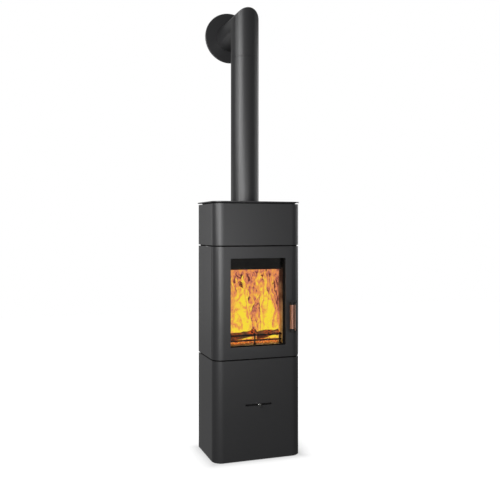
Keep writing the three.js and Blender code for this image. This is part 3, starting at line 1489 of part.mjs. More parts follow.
function handleParts() {
  // Upright shaft with a finger that turns behind the striker.
  const tipY = SHAFT_Y + LATCH_FINGER;
  const fingerLow = HANDLE_MID - LATCH_FINGER_HEIGHT / 2;
  const fingerHigh = HANDLE_MID + LATCH_FINGER_HEIGHT / 2;
  const finger = polygon([
    [SHAFT_X - LATCH_SHAFT - 2, SHAFT_Y],
    [SHAFT_X + LATCH_SHAFT + 2, SHAFT_Y],
    [SHAFT_X + LATCH_FINGER_TIP, tipY],
    [SHAFT_X - LATCH_FINGER_TIP, tipY],
  ]);
  const shaft = join(
    bar("z", SHAFT_X, SHAFT_Y, LATCH_SHAFT, LOWER_ARM - 4, UPPER_ARM + ARM_THICKNESS + 4),
    bar("z", SHAFT_X, SHAFT_Y, LATCH_SHAFT + 3, fingerLow, fingerHigh, 8),
    prism(finger, "z", fingerLow, fingerHigh),
    bar("z", SHAFT_X, tipY, LATCH_FINGER_TIP, fingerLow, fingerHigh),
  );
  piece(groups.handle, "latch_shaft", shaft, plainSteel);

  // Two arms and the core rod, welded together.
  const along = new THREE.Vector2(HANDLE_X - SHAFT_X, HANDLE_Y - SHAFT_Y).normalize();
  const across = new THREE.Vector2(-along.y, along.x).multiplyScalar(ARM_HALF_WIDTH);
  const arms = [LOWER_ARM, UPPER_ARM].map((low) => {
    const high = low + ARM_THICKNESS;
    const sides = polygon([
      [SHAFT_X + across.x, SHAFT_Y + across.y],
      [HANDLE_X + across.x, HANDLE_Y + across.y],
      [HANDLE_X - across.x, HANDLE_Y - across.y],
      [SHAFT_X - across.x, SHAFT_Y - across.y],
    ]);
    return cut(
      join(
        prism(sides, "z", low, high),
        bar("z", SHAFT_X, SHAFT_Y, ARM_EYE, low, high, 8),
        bar("z", HANDLE_X, HANDLE_Y, COIL_RADIUS + COIL_WIRE + 0.5, low, high, 10),
      ),
      bar("z", SHAFT_X, SHAFT_Y, LATCH_SHAFT + GAP, low - 1, high + 1),
    );
  });
  const core = COIL_RADIUS * Math.cos(Math.PI / COIL_STEPS) - COIL_WIRE;
  const rod = bar("z", HANDLE_X, HANDLE_Y, core, LOWER_ARM + 1, UPPER_ARM + ARM_THICKNESS - 1, 10);
  piece(groups.handle, "handle_bar", join(rod, ...arms), blackSteel);
  piece(groups.handle, "handle_coil", coil(), copper);
}

// One unbroken wire wound round the core. Each end turns upright and meets its arm square.
function coilPath() {
  const endRun = 2 * COIL_WIRE;
  const easeRise = 3.8;
  const easeTurn = THREE.MathUtils.degToRad(35);
  const easeSteps = 4;
  const bottom = COIL_BOTTOM;
  const woundHeight = COIL_LENGTH - 2 * (endRun + easeRise);
  const steps = COIL_TURNS * COIL_STEPS;
  const total = 2 * easeTurn + 2 * Math.PI * COIL_TURNS;
  const at = (angle, z) =>
    new THREE.Vector3(
      HANDLE_X + COIL_RADIUS * Math.cos(angle),
      HANDLE_Y + COIL_RADIUS * Math.sin(angle),
      z,
    );
  const points = [at(0, bottom), at(0, bottom + endRun)];
  for (let i = 1; i <= easeSteps; i++) {
    const t = i / easeSteps;
    points.push(at(easeTurn * t * t, bottom + endRun + easeRise * (2 * t - t * t)));
  }
  for (let i = 1; i < steps; i++) {
    const t = i / steps;
    const z = bottom + endRun + easeRise + woundHeight * t;
    points.push(at(easeTurn + 2 * Math.PI * COIL_TURNS * t, z));
  }
  for (let i = easeSteps; i >= 0; i--) {
    const t = i / easeSteps;
    points.push(at(total - easeTurn * t * t, COIL_TOP - endRun - easeRise * (2 * t - t * t)));
  }
  points.push(at(total, COIL_TOP));
  return points;
}

function coil() {
  const points = coilPath();
  const centre = new THREE.Vector3(HANDLE_X, HANDLE_Y, 0);
  const rings = points.map((place, i) => {
    const before = points[Math.max(i - 1, 0)];
    const after = points[Math.min(i + 1, points.length - 1)];
    const travel = after.clone().sub(before).normalize();
    const outward = place.clone().sub(centre).setZ(0).normalize();
    const side = outward.addScaledVector(travel, -outward.dot(travel)).normalize();
    const up = travel.clone().cross(side);
    return sectionAt(place, side, up, COIL_WIRE, COIL_SIDES);
  });
  return loft(rings, false);
}

// Least distance between two stretches of the wire that are over half a turn apart.
function coilGap() {
  const points = coilPath();
  const apart = COIL_STEPS / 2;
  let least = Infinity;
  for (let i = 0; i + 1 < points.length; i++) {
    for (let part = 0; part < 4; part++) {
      const here = points[i].clone().lerp(points[i + 1], part / 4);
      for (let j = i + apart; j + 1 < points.length; j++) {
        const nearest = new THREE.Line3(points[j], points[j + 1]).closestPointToPoint(
          here,
          true,
          new THREE.Vector3(),
        );
        least = Math.min(least, nearest.distanceTo(here));
      }
    }
  }
  return least - 2 * COIL_WIRE;
}

// ---------------------------------------------------------------- build

baseParts();
airParts();
airControl();
fireboxParts();
middlePanels();
hingeBrackets();
latchKeeper();
upperParts();
flueParts();
doorParts();
handleParts();
console.log(`least gap between the coil's turns: ${coilGap().toFixed(2)} mm`);

export default stove;
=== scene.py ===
"""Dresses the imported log-burning stove: painted casings, fire door with its window, coil handle,
flue, firebrick and fire, and the pale studio that it stands in. Lengths are metres."""

from math import asin, atan2, cos, degrees, pi, radians, sin, sqrt, tau

import bmesh
import bpy
from bpy.props import FloatProperty, FloatVectorProperty, IntProperty, PointerProperty
from mathutils import Euler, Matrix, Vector, noise
from mathutils.geometry import tessellate_polygon


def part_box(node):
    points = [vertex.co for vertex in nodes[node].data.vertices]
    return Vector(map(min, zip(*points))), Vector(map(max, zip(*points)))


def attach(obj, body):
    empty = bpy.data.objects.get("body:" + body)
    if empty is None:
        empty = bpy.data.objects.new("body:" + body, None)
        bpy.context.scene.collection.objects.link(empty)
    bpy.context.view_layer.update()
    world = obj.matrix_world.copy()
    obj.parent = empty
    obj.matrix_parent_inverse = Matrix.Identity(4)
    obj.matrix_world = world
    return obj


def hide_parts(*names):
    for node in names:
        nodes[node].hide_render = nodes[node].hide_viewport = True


bl_info = {
    "name": "Log-burning stove", "version": (1, 0, 0), "blender": (4, 5, 0),
    "location": "3D View > Sidebar > Stove",
    "description": "Builds the visible surfaces of a tall log-burning stove round its packed frame",
    "category": "Object",
}

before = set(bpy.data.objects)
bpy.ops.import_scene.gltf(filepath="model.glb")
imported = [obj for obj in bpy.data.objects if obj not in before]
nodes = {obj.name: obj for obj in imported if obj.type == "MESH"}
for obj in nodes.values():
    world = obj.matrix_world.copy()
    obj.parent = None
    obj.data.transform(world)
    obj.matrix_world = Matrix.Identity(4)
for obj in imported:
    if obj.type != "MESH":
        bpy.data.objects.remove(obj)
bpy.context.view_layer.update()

MM = 0.001
ROUND_STEPS = 96  # facets round a pipe
BEND_STEPS = 20  # facets round a folded corner
SEAM_STRIP = 6.1 * MM  # height of the strip that closes a seam from inside
SEAM_SLIT = 0.1 * MM  # between such a strip and the casing
SMOOTH_ANGLE = radians(32)  # a sharper edge than this stays crisp


def linear(colour):
    """Turns an sRGB hex value into linear RGBA."""
    channels = [((colour >> shift) & 255) / 255 for shift in (16, 8, 0)]
    curved = [c / 12.92 if c <= 0.04045 else ((c + 0.055) / 1.055) ** 2.4 for c in channels]
    return (*curved, 1.0)


# ------------ sizes and colours


class CasingSettings(bpy.types.PropertyGroup):
    """The folded and painted sheet of the casings."""

    sheet: FloatProperty(
        name="Sheet", description="Thickness of the casing sheet", default=3 * MM, unit="LENGTH",
        precision=4,
    )
    corner: FloatProperty(
        name="Corner radius", description="Outside radius of the two front corners", default=50 * MM,
        unit="LENGTH",
    )
    edge: FloatProperty(
        name="Edge radius", description="Rounding that deburring and paint leave on a cut edge",
        default=0.6 * MM, unit="LENGTH", precision=4,
    )
    rear_return: FloatProperty(
        name="Rear return", description="Width of the edge folded inwards at the rear", default=18 * MM,
        unit="LENGTH",
    )
    paint: FloatVectorProperty(
        name="Paint", description="Colour of the stove paint", default=linear(0x262627), size=4,
        subtype="COLOR",
    )
    gloss: FloatProperty(
        name="Paint roughness", description="Roughness of the cured paint", default=0.36, min=0.0,
        max=1.0, subtype="FACTOR",
    )


class HandleSettings(bpy.types.PropertyGroup):
    """The wire coil of the door handle."""

    turns: IntProperty(name="Turns", description="Turns of wire on the handle", default=21, min=1)
    wire: FloatProperty(
        name="Wire radius", description="Radius of the wire", default=2.3 * MM, unit="LENGTH",
        precision=4,
    )
    steps: IntProperty(name="Steps", description="Steps in one turn of the wire", default=30, min=8)
    copper: FloatVectorProperty(
        name="Copper", description="Colour of the wire", default=linear(0xCF9E88), size=4,
        subtype="COLOR",
    )


class FireSettings(bpy.types.PropertyGroup):
    """The fire behind the window."""

    seed: IntProperty(name="Seed", description="Seed of the fire's shapes", default=7)
    core: FloatVectorProperty(
        name="Core", description="Colour of the hottest flames", default=linear(0xFFE63C), size=4,
        subtype="COLOR",
    )
    edge: FloatVectorProperty(
        name="Edge", description="Colour of the cooler flames", default=linear(0xF2A24E), size=4,
        subtype="COLOR",
    )
    coals: FloatProperty(
        name="Coal size", description="Radius of a glowing coal", default=9 * MM, unit="LENGTH",
        precision=4,
    )


class StageSettings(bpy.types.PropertyGroup):
    """Camera and light."""

    lens: FloatProperty(
        name="Lens", description="Focal length of the camera in millimetres", default=49.68,
    )
    low: FloatProperty(
        name="Low light", description="Power of the light that draws the casing's rounded corner",
        default=42.0, unit="POWER",
    )
    high: FloatProperty(
        name="High light", description="Power of the brightest light on the flue", default=55.0,
        unit="POWER",
    )
    fill: FloatProperty(
        name="Fill light", description="Power of the wide light on the front", default=23.0, unit="POWER",
    )
    room: FloatProperty(
        name="Room", description="Brightness of the room round the stove", default=0.157, min=0.0,
    )


SETTINGS = {
    "stove_casing": CasingSettings, "stove_handle": HandleSettings, "stove_fire": FireSettings,
    "stove_stage": StageSettings,
}


# ------------ making meshes


def shown(name, data):
    """A new object in the scene."""
    made = bpy.data.objects.new(name, data)
    bpy.context.scene.collection.objects.link(made)
    return made


def link_mesh(name, points, faces, attributes):
    """A smooth-shaded mesh object at the origin, with its faces turned outwards."""
    mesh = bpy.data.meshes.new(name)
    mesh.from_pydata(points, [], faces)
    for label, values in attributes.items():
        mesh.attributes.new(label, "FLOAT", "POINT").data.foreach_set("value", values)
    work = bmesh.new()
    work.from_mesh(mesh)
    bmesh.ops.recalc_face_normals(work, faces=work.faces)
    work.to_mesh(mesh)
    work.free()
    return smoothed(shown(name, mesh))


def plain_mesh(made, modifier):
    """Keeps what an object's only modifier makes of it as its mesh."""
    depsgraph = bpy.context.evaluated_depsgraph_get()
    mesh = bpy.data.meshes.new_from_object(
        made.evaluated_get(depsgraph), preserve_all_data_layers=True, depsgraph=depsgraph,
    )
    made.modifiers.remove(modifier)
    made.data = mesh
    if not mesh.polygons:
        raise RuntimeError(made.name + " came out empty")
    return made


def smoothed(made):
    """Shades an object smoothly, with sharp edges kept and large faces shaded flat."""
    made.data.shade_smooth()
    made.data.set_sharp_from_angle(angle=SMOOTH_ANGLE)
    modifier = made.modifiers.new("even_normals", "WEIGHTED_NORMAL")
    modifier.mode = "FACE_AREA_WITH_ANGLE"
    modifier.keep_sharp = True
    return plain_mesh(made, modifier)


def joined(name, parts, attribute=None):
    """One object from several closed shells, given as (points, faces), or with an attribute as
    (points, faces, values)."""
    points, faces, values = [], [], []
    for more_points, more_faces, *more_values in parts:
        start = len(points)
        points += more_points
        faces += [[start + i for i in face] for face in more_faces]
        values += more_values[0] if attribute else []
    return link_mesh(name, points, faces, {attribute: values} if attribute else {})


def dress(piece, body, slot, material, *replaced):
    """Gives a finished piece its material and its body, and hides the CAD nodes that it stands for. The
    slot is not used.
    """
    piece.data.materials.clear()
    piece.data.materials.append(material)
    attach(piece, body)
    if replaced:
        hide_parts(*replaced)
    return piece


def finish_nodes(material, *beginnings):
    """Gives the carried-over CAD nodes whose names begin so their material."""
    for node in (nodes[name] for name in nodes if name.startswith(beginnings)):
        if not node.material_slots:
            node.data.materials.append(None)
        for place in node.material_slots:
            place.material = material


def arc(centre, radius, start, end, steps):
    """Points on an arc, with angles in degrees from +X towards +Y."""
    angles = [radians(start + (end - start) * i / steps) for i in range(steps + 1)]
    return [(centre[0] + radius * cos(a), centre[1] + radius * sin(a)) for a in angles]


def box_outline(low, high, radius, steps=6):
    """A rectangle with rounded corners, counter-clockwise."""
    (x0, y0), (x1, y1) = low, high
    corners = [
        ((x1 - radius, y0 + radius), -90), ((x1 - radius, y1 - radius), 0),
        ((x0 + radius, y1 - radius), 90), ((x0 + radius, y0 + radius), 180),
    ]
    return [p for centre, start in corners for p in arc(centre, radius, start, start + 90, steps)]


def soften(profile, radius, steps=3, closed=True):
    """Rounds the corners of a profile, by no more than a third of the edges that meet there."""
    made = []
    count = len(profile)
    for i, point in enumerate(profile):
        if not closed and i in (0, count - 1):
            made.append(tuple(point))
            continue
        here = Vector(point)
        back = Vector(profile[i - 1]) - here
        on = Vector(profile[(i + 1) % count]) - here
        reach = min(radius, back.length / 3, on.length / 3)
        start = here + back.normalized() * reach
        end = here + on.normalized() * reach
        for step in range(steps + 1):
            t = step / steps
            made.append(tuple((1 - t) ** 2 * start + 2 * t * (1 - t) * here + t**2 * end))
    return made


def offset_loop(loop, distance):
    """A closed loop moved to the left of its travel."""
    made = []
    for i, point in enumerate(loop):
        here = Vector(point)
        before = (here - Vector(loop[i - 1])).normalized()
        after = (Vector(loop[(i + 1) % len(loop)]) - here).normalized()
        across = Vector((-before.y - after.y, before.x + after.x))
        across /= 1 + before.dot(after)
        made.append(tuple(here + across * distance))
    return made


def edge_layers(thickness, edge):
    """How far in and how deep each line of a sheet's rounded edge lies, from face to face."""
    rounding = [(edge, 0.0), (0.3 * edge, 0.3 * edge), (0.0, edge)]
    return rounding + [(inset, thickness - depth) for inset, depth in reversed(rounding)]


def numbered(rings, points=()):
    """All the points of some rings in one list, after those given, and each ring's numbers."""
    points = list(points)
    loops = []
    for ring in rings:
        loops.append(list(range(len(points), len(points) + len(ring))))
        points += [Vector(point) for point in ring]
    return points, loops


def bands(loops):
    """Quads between closed loops of vertex numbers."""
    faces = []
    for lower, upper in zip(loops, loops[1:]):
        for i in range(len(lower)):
            on = (i + 1) % len(lower)
            faces.append([lower[i], lower[on], upper[on], upper[i]])
    return faces


def fan(loop, tip):
    """Triangles from a closed loop of vertex numbers to one vertex."""
    return [[a, b, tip] for a, b in zip(loop, [*loop[1:], loop[0]])]


def filled(points, loops):
    """Triangles that fill a flat outline round its holes; loops hold vertex numbers."""
    flat = [i for loop in loops for i in loop]
    triangles = tessellate_polygon([[points[i] for i in loop] for loop in loops])
    return [[flat[i] for i in face] for face in triangles]


def walls(loop, way, thickness, edge, place, points):
    """The cut edge of a plate along a loop, with its corners rounded inwards (way 1) or outwards
    (way -1). place turns (a, b, depth) into a point. Returns points with its own added to them,
    and the numbers of its rings."""
    rings = []
    for inset, depth in edge_layers(thickness, edge):
        rings.append([place(a, b, depth) for a, b in offset_loop(loop, way * inset)])
    return numbered(rings, points)


def slab(outline, holes, thickness, edge, place):
    """A flat plate with rounded edges. place turns (a, b, depth) into a point."""
    points, faces, stacks = [], [], []
    for loop, way in [(outline, 1)] + [(hole, -1) for hole in holes]:
        points, stack = walls(loop, way, thickness, edge, place, points)
        faces += bands(stack)
        stacks.append(stack)
    for layer in (0, -1):
        faces += filled(points, [stack[layer] for stack in stacks])
    return points, faces


def turned(profile, place, steps=ROUND_STEPS):
    """A closed skin turned about an axis from (radius, along) points. place turns
    (across, up, along) into a point. A profile that starts and ends on the axis has poles there,
    and any other closes on itself."""
    circle = [(cos(a), sin(a)) for a in (tau * i / steps for i in range(steps))]
    rings = []
    for radius, along in profile:
        ring = circle if radius else [(0.0, 0.0)]
        rings.append([place(radius * x, radius * y, along) for x, y in ring])
    points, rings = numbered(rings)
    if profile[0][0]:
        rings.append(rings[0])
    rings = [ring * steps if len(ring) == 1 else ring for ring in rings]
    faces = [list(dict.fromkeys(face)) for face in bands(rings)]
    return points, [face for face in faces if len(face) > 2]


def upright(x, y):
    """Places a turned profile on an upright axis."""
    return lambda across, up, along: (x + across, y + up, along)


def towards_rear(x, z):
    """Places a turned profile on an axis that runs to the rear."""
    return lambda across, up, along: (x + across, along, z + up)


def lying(z):
    """Places a slab that lies flat, with its lower face at a height."""
    return lambda a, b, depth: (a, b, z + depth)


def folded_sheet(casing, low, high, lip, openings):
    """A sheet wrapped round the front and both sides between two corners of a box. The rear
    edges may be folded inwards by lip. openings are loops of (x, z) in the flat front."""
    half, front, rear = high.x, low.y, high.y
    sheet, corner = casing.sheet, casing.corner
    centre = Vector((corner - half, front + corner))
    hold = 1 * MM  # narrow strip beside a bend, which keeps the flat's shading flat

    def bend_start(radius):
        return 180 + degrees(asin(max(centre.y - rear, 0.0) / radius))

    outer = arc(centre, corner, bend_start(corner), 270, BEND_STEPS)
    inner = arc(centre, corner - sheet, bend_start(corner - sheet), 270, BEND_STEPS)
    left = list(zip(outer, inner))
    if rear > centre.y + hold:
        left.insert(0, ((-half, centre.y + hold), (sheet - half, centre.y + hold)))
        if lip:
            left.insert(0, ((-half, rear), (sheet - half, rear - sheet)))
            left.insert(0, ((lip - half, rear), (lip - half, rear - sheet)))
        else:
            left.insert(0, ((-half, rear), (sheet - half, rear)))
    left.append(((centre.x + hold, front), (centre.x + hold, front + sheet)))
    right = [((-a[0], a[1]), (-b[0], b[1])) for a, b in reversed(left)]
    stations = [(Vector(a), Vector(b)) for a, b in left + right]
    last = len(stations) - 1

    def across(i, inset, depth):
        a, b = stations[i]
        point = a.lerp(b, depth / sheet)
        if i in (0, last):
            beside = stations[1 if i == 0 else last - 1][0]
            point = point + (beside - a).normalized() * inset
        return point

    rings = []
    for inset, depth in edge_layers(sheet, casing.edge):
        row = [across(i, inset, depth) for i in range(last + 1)]
        ring = [(*at, low.z + inset) for at in row]
        rings.append(ring + [(*at, high.z - inset) for at in reversed(row)])
    points, stack = numbered(rings)
    faces = bands(stack)
    hole_stacks = []
    place = lambda x, z, depth: (x, front + depth, z)
    for outline in openings:
        points, layers = walls(outline, -1, sheet, casing.edge, place, points)
        faces += bands(layers)
        hole_stacks.append(layers)
    flat = len(left) - 1
    for layer in (0, -1):
        loop = stack[layer]
        for i in range(last):
            around = [loop[i], loop[i + 1], loop[2 * last - i], loop[2 * last + 1 - i]]
            if i == flat and openings:
                faces += filled(points, [around] + [layers[layer] for layers in hole_stacks])
            else:
                faces.append(around)
    return points, faces


def deck_outline(half, front, rear, radius):
    """A plate's plan with two rounded front corners, counter-clockwise."""
    left = arc((radius - half, front + radius), radius, 180, 270, BEND_STEPS)
    right = arc((half - radius, front + radius), radius, 270, 360, BEND_STEPS)
    return [(-half, rear), *left, *right, (half, rear)]


# ------------ making node trees


def add(tree, kind, inputs=(), stops=(), **settings):
    """Adds a node. Settings are its properties, and stops the places and colours of a ramp, as
    sRGB hex values or linear RGBA. Inputs, in order or under the names of the sockets, are their
    values or what feeds them: a socket, a node for its first output, or a list of these."""
    node = tree.nodes.new(kind)
    for name, value in settings.items():
        setattr(node, name, value)
    if stops:
        stops = [(at, linear(tone) if isinstance(tone, int) else tuple(tone)) for at, tone in stops]
        ramp = node.color_ramp.elements
        ramp[0].position, ramp[0].color = stops[0]
        ramp[-1].position, ramp[-1].color = stops[-1]
        for position, colour in stops[1:-1]:
            ramp.new(position).color = colour
    for name, value in inputs.items() if isinstance(inputs, dict) else enumerate(inputs):
        for feed in value if isinstance(value, list) else [value]:
            if isinstance(feed, bpy.types.Node):
                feed = next(socket for socket in feed.outputs if socket.enabled)
            if isinstance(feed, bpy.types.NodeSocket):
                tree.links.new(feed, node.inputs[name])
            else:
                node.inputs[name].default_value = feed
    return node


def surface(draw):
    """Turns a function that draws a surface into one that returns its material, which is made
    once, under the function's name. The drawing function is handed the node tree and the
    object's coordinates, and returns the inputs of the shader."""

    def material(*given):
        made = bpy.data.materials.get(draw.__name__)
        if not made:
            made = bpy.data.materials.new(draw.__name__)
            made.use_nodes = True
            tree = made.node_tree
            tree.nodes.clear()
            place = add(tree, "ShaderNodeTexCoord").outputs["Object"]
            shader = add(tree, "ShaderNodeBsdfPrincipled", draw(tree, place, *given))
            add(tree, "ShaderNodeOutputMaterial", {"Surface": shader})
        return made

    return material


SOCKETS = {int: "NodeSocketInt", float: "NodeSocketFloat", tuple: "NodeSocketVector"}


def new_growth(name, sizes):
    """A geometry node tree with a named input for each size: a count, a length or a place."""
    tree = bpy.data.node_groups.new(name, "GeometryNodeTree")
    for label, value in sizes.items():
        kind = SOCKETS[type(value)]
        socket = tree.interface.new_socket(label, in_out="INPUT", socket_type=kind)
        socket.default_value = value
    tree.interface.new_socket("Geometry", in_out="OUTPUT", socket_type="NodeSocketGeometry")
    return tree, add(tree, "NodeGroupInput").outputs


def finish_growth(tree, geometry, material):
    """Ends a geometry node tree with real geometry in its material."""
    real = add(tree, "GeometryNodeRealizeInstances", {"Geometry": geometry})
    coated = add(tree, "GeometryNodeSetMaterial", {"Geometry": real, "Material": material})
    add(tree, "NodeGroupOutput", {"Geometry": coated})
    return tree


def grown(name, tree, sizes):
    """Runs a geometry node tree and keeps its result as a plain mesh object."""
    made = shown(name, bpy.data.meshes.new(name + "_start"))
    modifier = made.modifiers.new(name, "NODES")
    modifier.node_group = tree
    for item in tree.interface.items_tree:
        if item.name in sizes:
            modifier[item.identifier] = sizes[item.name]
    return smoothed(plain_mesh(made, modifier))


# ------------ materials


@surface
def sprayed_stove_paint(tree, place, casing):
    """Silicone stove paint, sprayed on sheet steel and cured: a dark warm grey with a dry,
    finely grained surface that spreads each highlight into a soft band. Its grain of 0.3 mm is
    too fine to show, so it is drawn at 1.5 mm."""
    grain = add(tree, "ShaderNodeTexNoise", {"Vector": place, "Scale": 1 / (1.5 * MM), "Detail": 3.0})
    drift = add(tree, "ShaderNodeTexNoise", {"Vector": place, "Scale": 1 / (160 * MM)})
    tone = add(
        tree, "ShaderNodeMix",
        {
            "Factor": drift, 6: tuple(0.94 * c for c in casing.paint[:3]) + (1.0,),
            7: tuple(1.06 * c for c in casing.paint[:3]) + (1.0,),
        },
        data_type="RGBA",
    )
    dry = add(tree, "ShaderNodeMapRange", {
        "Value": grain, "From Min": 0.3, "From Max": 0.7, "To Min": casing.gloss - 0.04,
        "To Max": casing.gloss + 0.04,
    })
    relief = add(tree, "ShaderNodeBump", {"Height": grain, "Strength": 0.15, "Distance": 0.15 * MM})
    return {"Base Color": tone, "Roughness": dry, "IOR": 1.5, "Normal": relief}


@surface
def heat_proof_black(tree, place):
    """Black heat-proof paint, brushed thinly on folded sheet inside the stove: dull, with a
    faint cloudiness where soot and heat have dried it. The clouds are about 40 mm across."""
    cloud = add(tree, "ShaderNodeTexNoise", {"Vector": place, "Scale": 1 / (40 * MM), "Detail": 4.0})
    grain = add(tree, "ShaderNodeTexNoise", {"Vector": place, "Scale": 1 / (1.2 * MM)})
    tone = add(tree, "ShaderNodeValToRGB", {"Fac": cloud}, stops=[(0.35, 0x070707), (0.7, 0x0F0E0E)])
    relief = add(tree, "ShaderNodeBump", {"Height": grain, "Strength": 0.2, "Distance": 0.15 * MM})
    return {
        "Base Color": tone, "Roughness": 0.72, "IOR": 1.5, "Specular IOR Level": 0.35, "Normal": relief,
    }


@surface
def soot_and_painted_shade_black(tree, place):
    """Steel sheet under a coat of soot from the fire: a loose black powder that swallows light,
    so it has hardly any gloss. It gathers in clouds about 25 mm across. Inside the firebox
    this is real soot. On the door's window reveal and on the strips in the casing seams, the
    same near-black is painted shade."""
    cloud = add(tree, "ShaderNodeTexNoise", {"Vector": place, "Scale": 1 / (25 * MM), "Detail": 5.0})
    tone = add(tree, "ShaderNodeValToRGB", {"Fac": cloud}, stops=[(0.35, 0x040404), (0.7, 0x0D0B0A)])
    return {"Base Color": tone, "Roughness": 0.95, "IOR": 1.45, "Specular IOR Level": 0.12}


@surface
def cold_rolled_steel(tree, place):
    """Bare cold-rolled steel: grey metal with fine lines along the rolling direction, 2 mm apart
    where the eye can still part them, and a soft stretched glint."""
    stretched = add(tree, "ShaderNodeMapping", {"Vector": place, "Scale": (20.0, 500.0, 500.0)})
    lines = add(tree, "ShaderNodeTexNoise", {"Vector": stretched, "Scale": 1.0})
    tone = add(tree, "ShaderNodeValToRGB", {"Fac": lines}, stops=[(0.3, 0x7F8183), (0.7, 0x9C9E9F)])
    rough = add(tree, "ShaderNodeMapRange", {"Value": lines, "To Min": 0.3, "To Max": 0.5})
    return {"Base Color": tone, "Metallic": 1.0, "Roughness": rough}


@surface
def turned_stainless_steel(tree, place, axis):
    """Stainless steel faced on a lathe: bright, with rings of tool marks 0.5 mm apart round the
    axis, which draw a fan of light across the end of the knob."""
    centred = add(tree, "ShaderNodeMapping", {"Vector": place, "Location": (-axis[0], 0.0, -axis[1])})
    rings = add(
        tree, "ShaderNodeTexWave", {"Vector": centred, "Scale": 1 / (tau * 0.5 * MM), "Distortion": 0.3},
        wave_type="RINGS", rings_direction="Y",
    )
    relief = add(tree, "ShaderNodeBump", {
        "Height": rings.outputs["Fac"], "Strength": 0.12, "Distance": 0.05 * MM,
    })
    return {"Base Color": linear(0x969694), "Metallic": 1.0, "Roughness": 0.17, "Normal": relief}


@surface
def sand_cast_iron(tree, place):
    """Grey iron cast in sand: nearly black, with pits of about 1.5 mm from the mould and a dry
    sheen on what stands out."""
    sand = add(tree, "ShaderNodeTexNoise", {"Vector": place, "Scale": 1 / (1.5 * MM), "Detail": 4.0})
    rust = add(tree, "ShaderNodeTexNoise", {"Vector": place, "Scale": 1 / (30 * MM), "Detail": 3.0})
    tone = add(
        tree, "ShaderNodeValToRGB", {"Fac": rust},
        stops=[(0.3, 0x0C0C0C), (0.65, 0x141312), (0.8, 0x231A13)],
    )
    relief = add(tree, "ShaderNodeBump", {"Height": sand, "Strength": 0.5, "Distance": 0.4 * MM})
    return {
        "Base Color": tone, "Metallic": 0.2, "Roughness": 0.7, "Specular IOR Level": 0.25,
        "Normal": relief,
    }


@surface
def drawn_copper_wire(tree, place, handle):
    """Drawn copper wire, lightly polished by the hand: a pinkish metal with darker brown
    tarnish, in patches of about 12 mm, that shines on the crown of each turn."""
    tarnish = add(tree, "ShaderNodeTexNoise", {"Vector": place, "Scale": 1 / (12 * MM), "Detail": 4.0})
    tone = add(
        tree, "ShaderNodeMix", {"Factor": tarnish, 6: tuple(handle.copper), 7: linear(0xA2735E)},
        data_type="RGBA",
    )
    rough = add(tree, "ShaderNodeMapRange", {"Value": tarnish, "To Min": 0.2, "To Max": 0.42})
    return {"Base Color": tone, "Metallic": 1.0, "Roughness": rough}


@surface
def pressed_vermiculite(tree, place, low, high):
    """Firebrick pressed from vermiculite: a crumbly tan board with flakes of about 3 mm, and
    dark brown blotches that grow towards its top."""
    flakes = add(tree, "ShaderNodeTexVoronoi", {"Vector": place, "Scale": 1 / (3 * MM)})
    blotches = add(tree, "ShaderNodeTexNoise", {"Vector": place, "Scale": 1 / (70 * MM), "Detail": 5.0})
    height = add(tree, "ShaderNodeSeparateXYZ", {"Vector": place})
    rise = add(tree, "ShaderNodeMapRange", {
        "Value": height.outputs["Z"], "From Min": low, "From Max": high, "To Min": -0.25, "To Max": 0.3,
    })
    # darker towards the top: the blotches grow with height and turn the board dark brown
    darkening = add(tree, "ShaderNodeMath", (blotches, rise), operation="ADD", use_clamp=True)
    board = add(
        tree, "ShaderNodeValToRGB", {"Fac": flakes},
        stops=[(0.0, 0xD9C79C), (0.5, 0xC2AC7F), (1.0, 0xA08A60)],
    )
    share = add(tree, "ShaderNodeMapRange", {"Value": darkening, "From Min": 0.35, "From Max": 0.75})
    tone = add(tree, "ShaderNodeMix", {"Factor": share, 6: board, 7: linear(0x3A3028)}, data_type="RGBA")
    relief = add(tree, "ShaderNodeBump", {"Height": flakes, "Strength": 0.4, "Distance": 0.6 * MM})
    return {"Base Color": tone, "Roughness": 0.95, "Normal": relief}


@surface
def sawn_soapstone(tree, place):
    """Soapstone sawn to blocks: mottled grey with pale veins a hand's width apart, and a waxy,
    faintly glossy skin."""
    mottle = add(tree, "ShaderNodeTexNoise", {"Vector": place, "Scale": 1 / (9 * MM), "Detail": 6.0})
    veins = add(
        tree, "ShaderNodeTexWave",
        {"Vector": place, "Scale": 1 / (90 * MM), "Distortion": 9.0, "Detail": 4.0},
        bands_direction="DIAGONAL",
    )
    ground = add(tree, "ShaderNodeValToRGB", {"Fac": mottle}, stops=[(0.3, 0x55544F), (0.7, 0x807D77)])
    share = add(tree, "ShaderNodeMapRange", {
        "Value": veins.outputs["Fac"], "From Min": 0.93, "From Max": 1.0, "To Max": 0.6,
    })
    tone = add(tree, "ShaderNodeMix", {"Factor": share, 6: ground, 7: linear(0xB4B1A8)}, data_type="RGBA")
    return {"Base Color": tone, "Roughness": 0.6}


@surface
def knitted_glass_rope(tree, place):
    """Rope knitted from black glass yarn: dull charcoal with slanting stitches 4 mm long that
    catch a little light."""
    stitch = add(
        tree, "ShaderNodeTexWave",
        {"Vector": place, "Scale": 1 / (tau * 4 * MM), "Distortion": 2.0, "Detail": 1.0},
        bands_direction="DIAGONAL",
    )
    tone = add(
        tree, "ShaderNodeValToRGB", {"Fac": stitch.outputs["Fac"]},
        stops=[(0.2, 0x1E1D1C), (0.9, 0x4A4743)],
    )
    relief = add(tree, "ShaderNodeBump", {
        "Height": stitch.outputs["Fac"], "Strength": 0.7, "Distance": 0.6 * MM,
    })
    return {"Base Color": tone, "Roughness": 0.95, "Normal": relief}


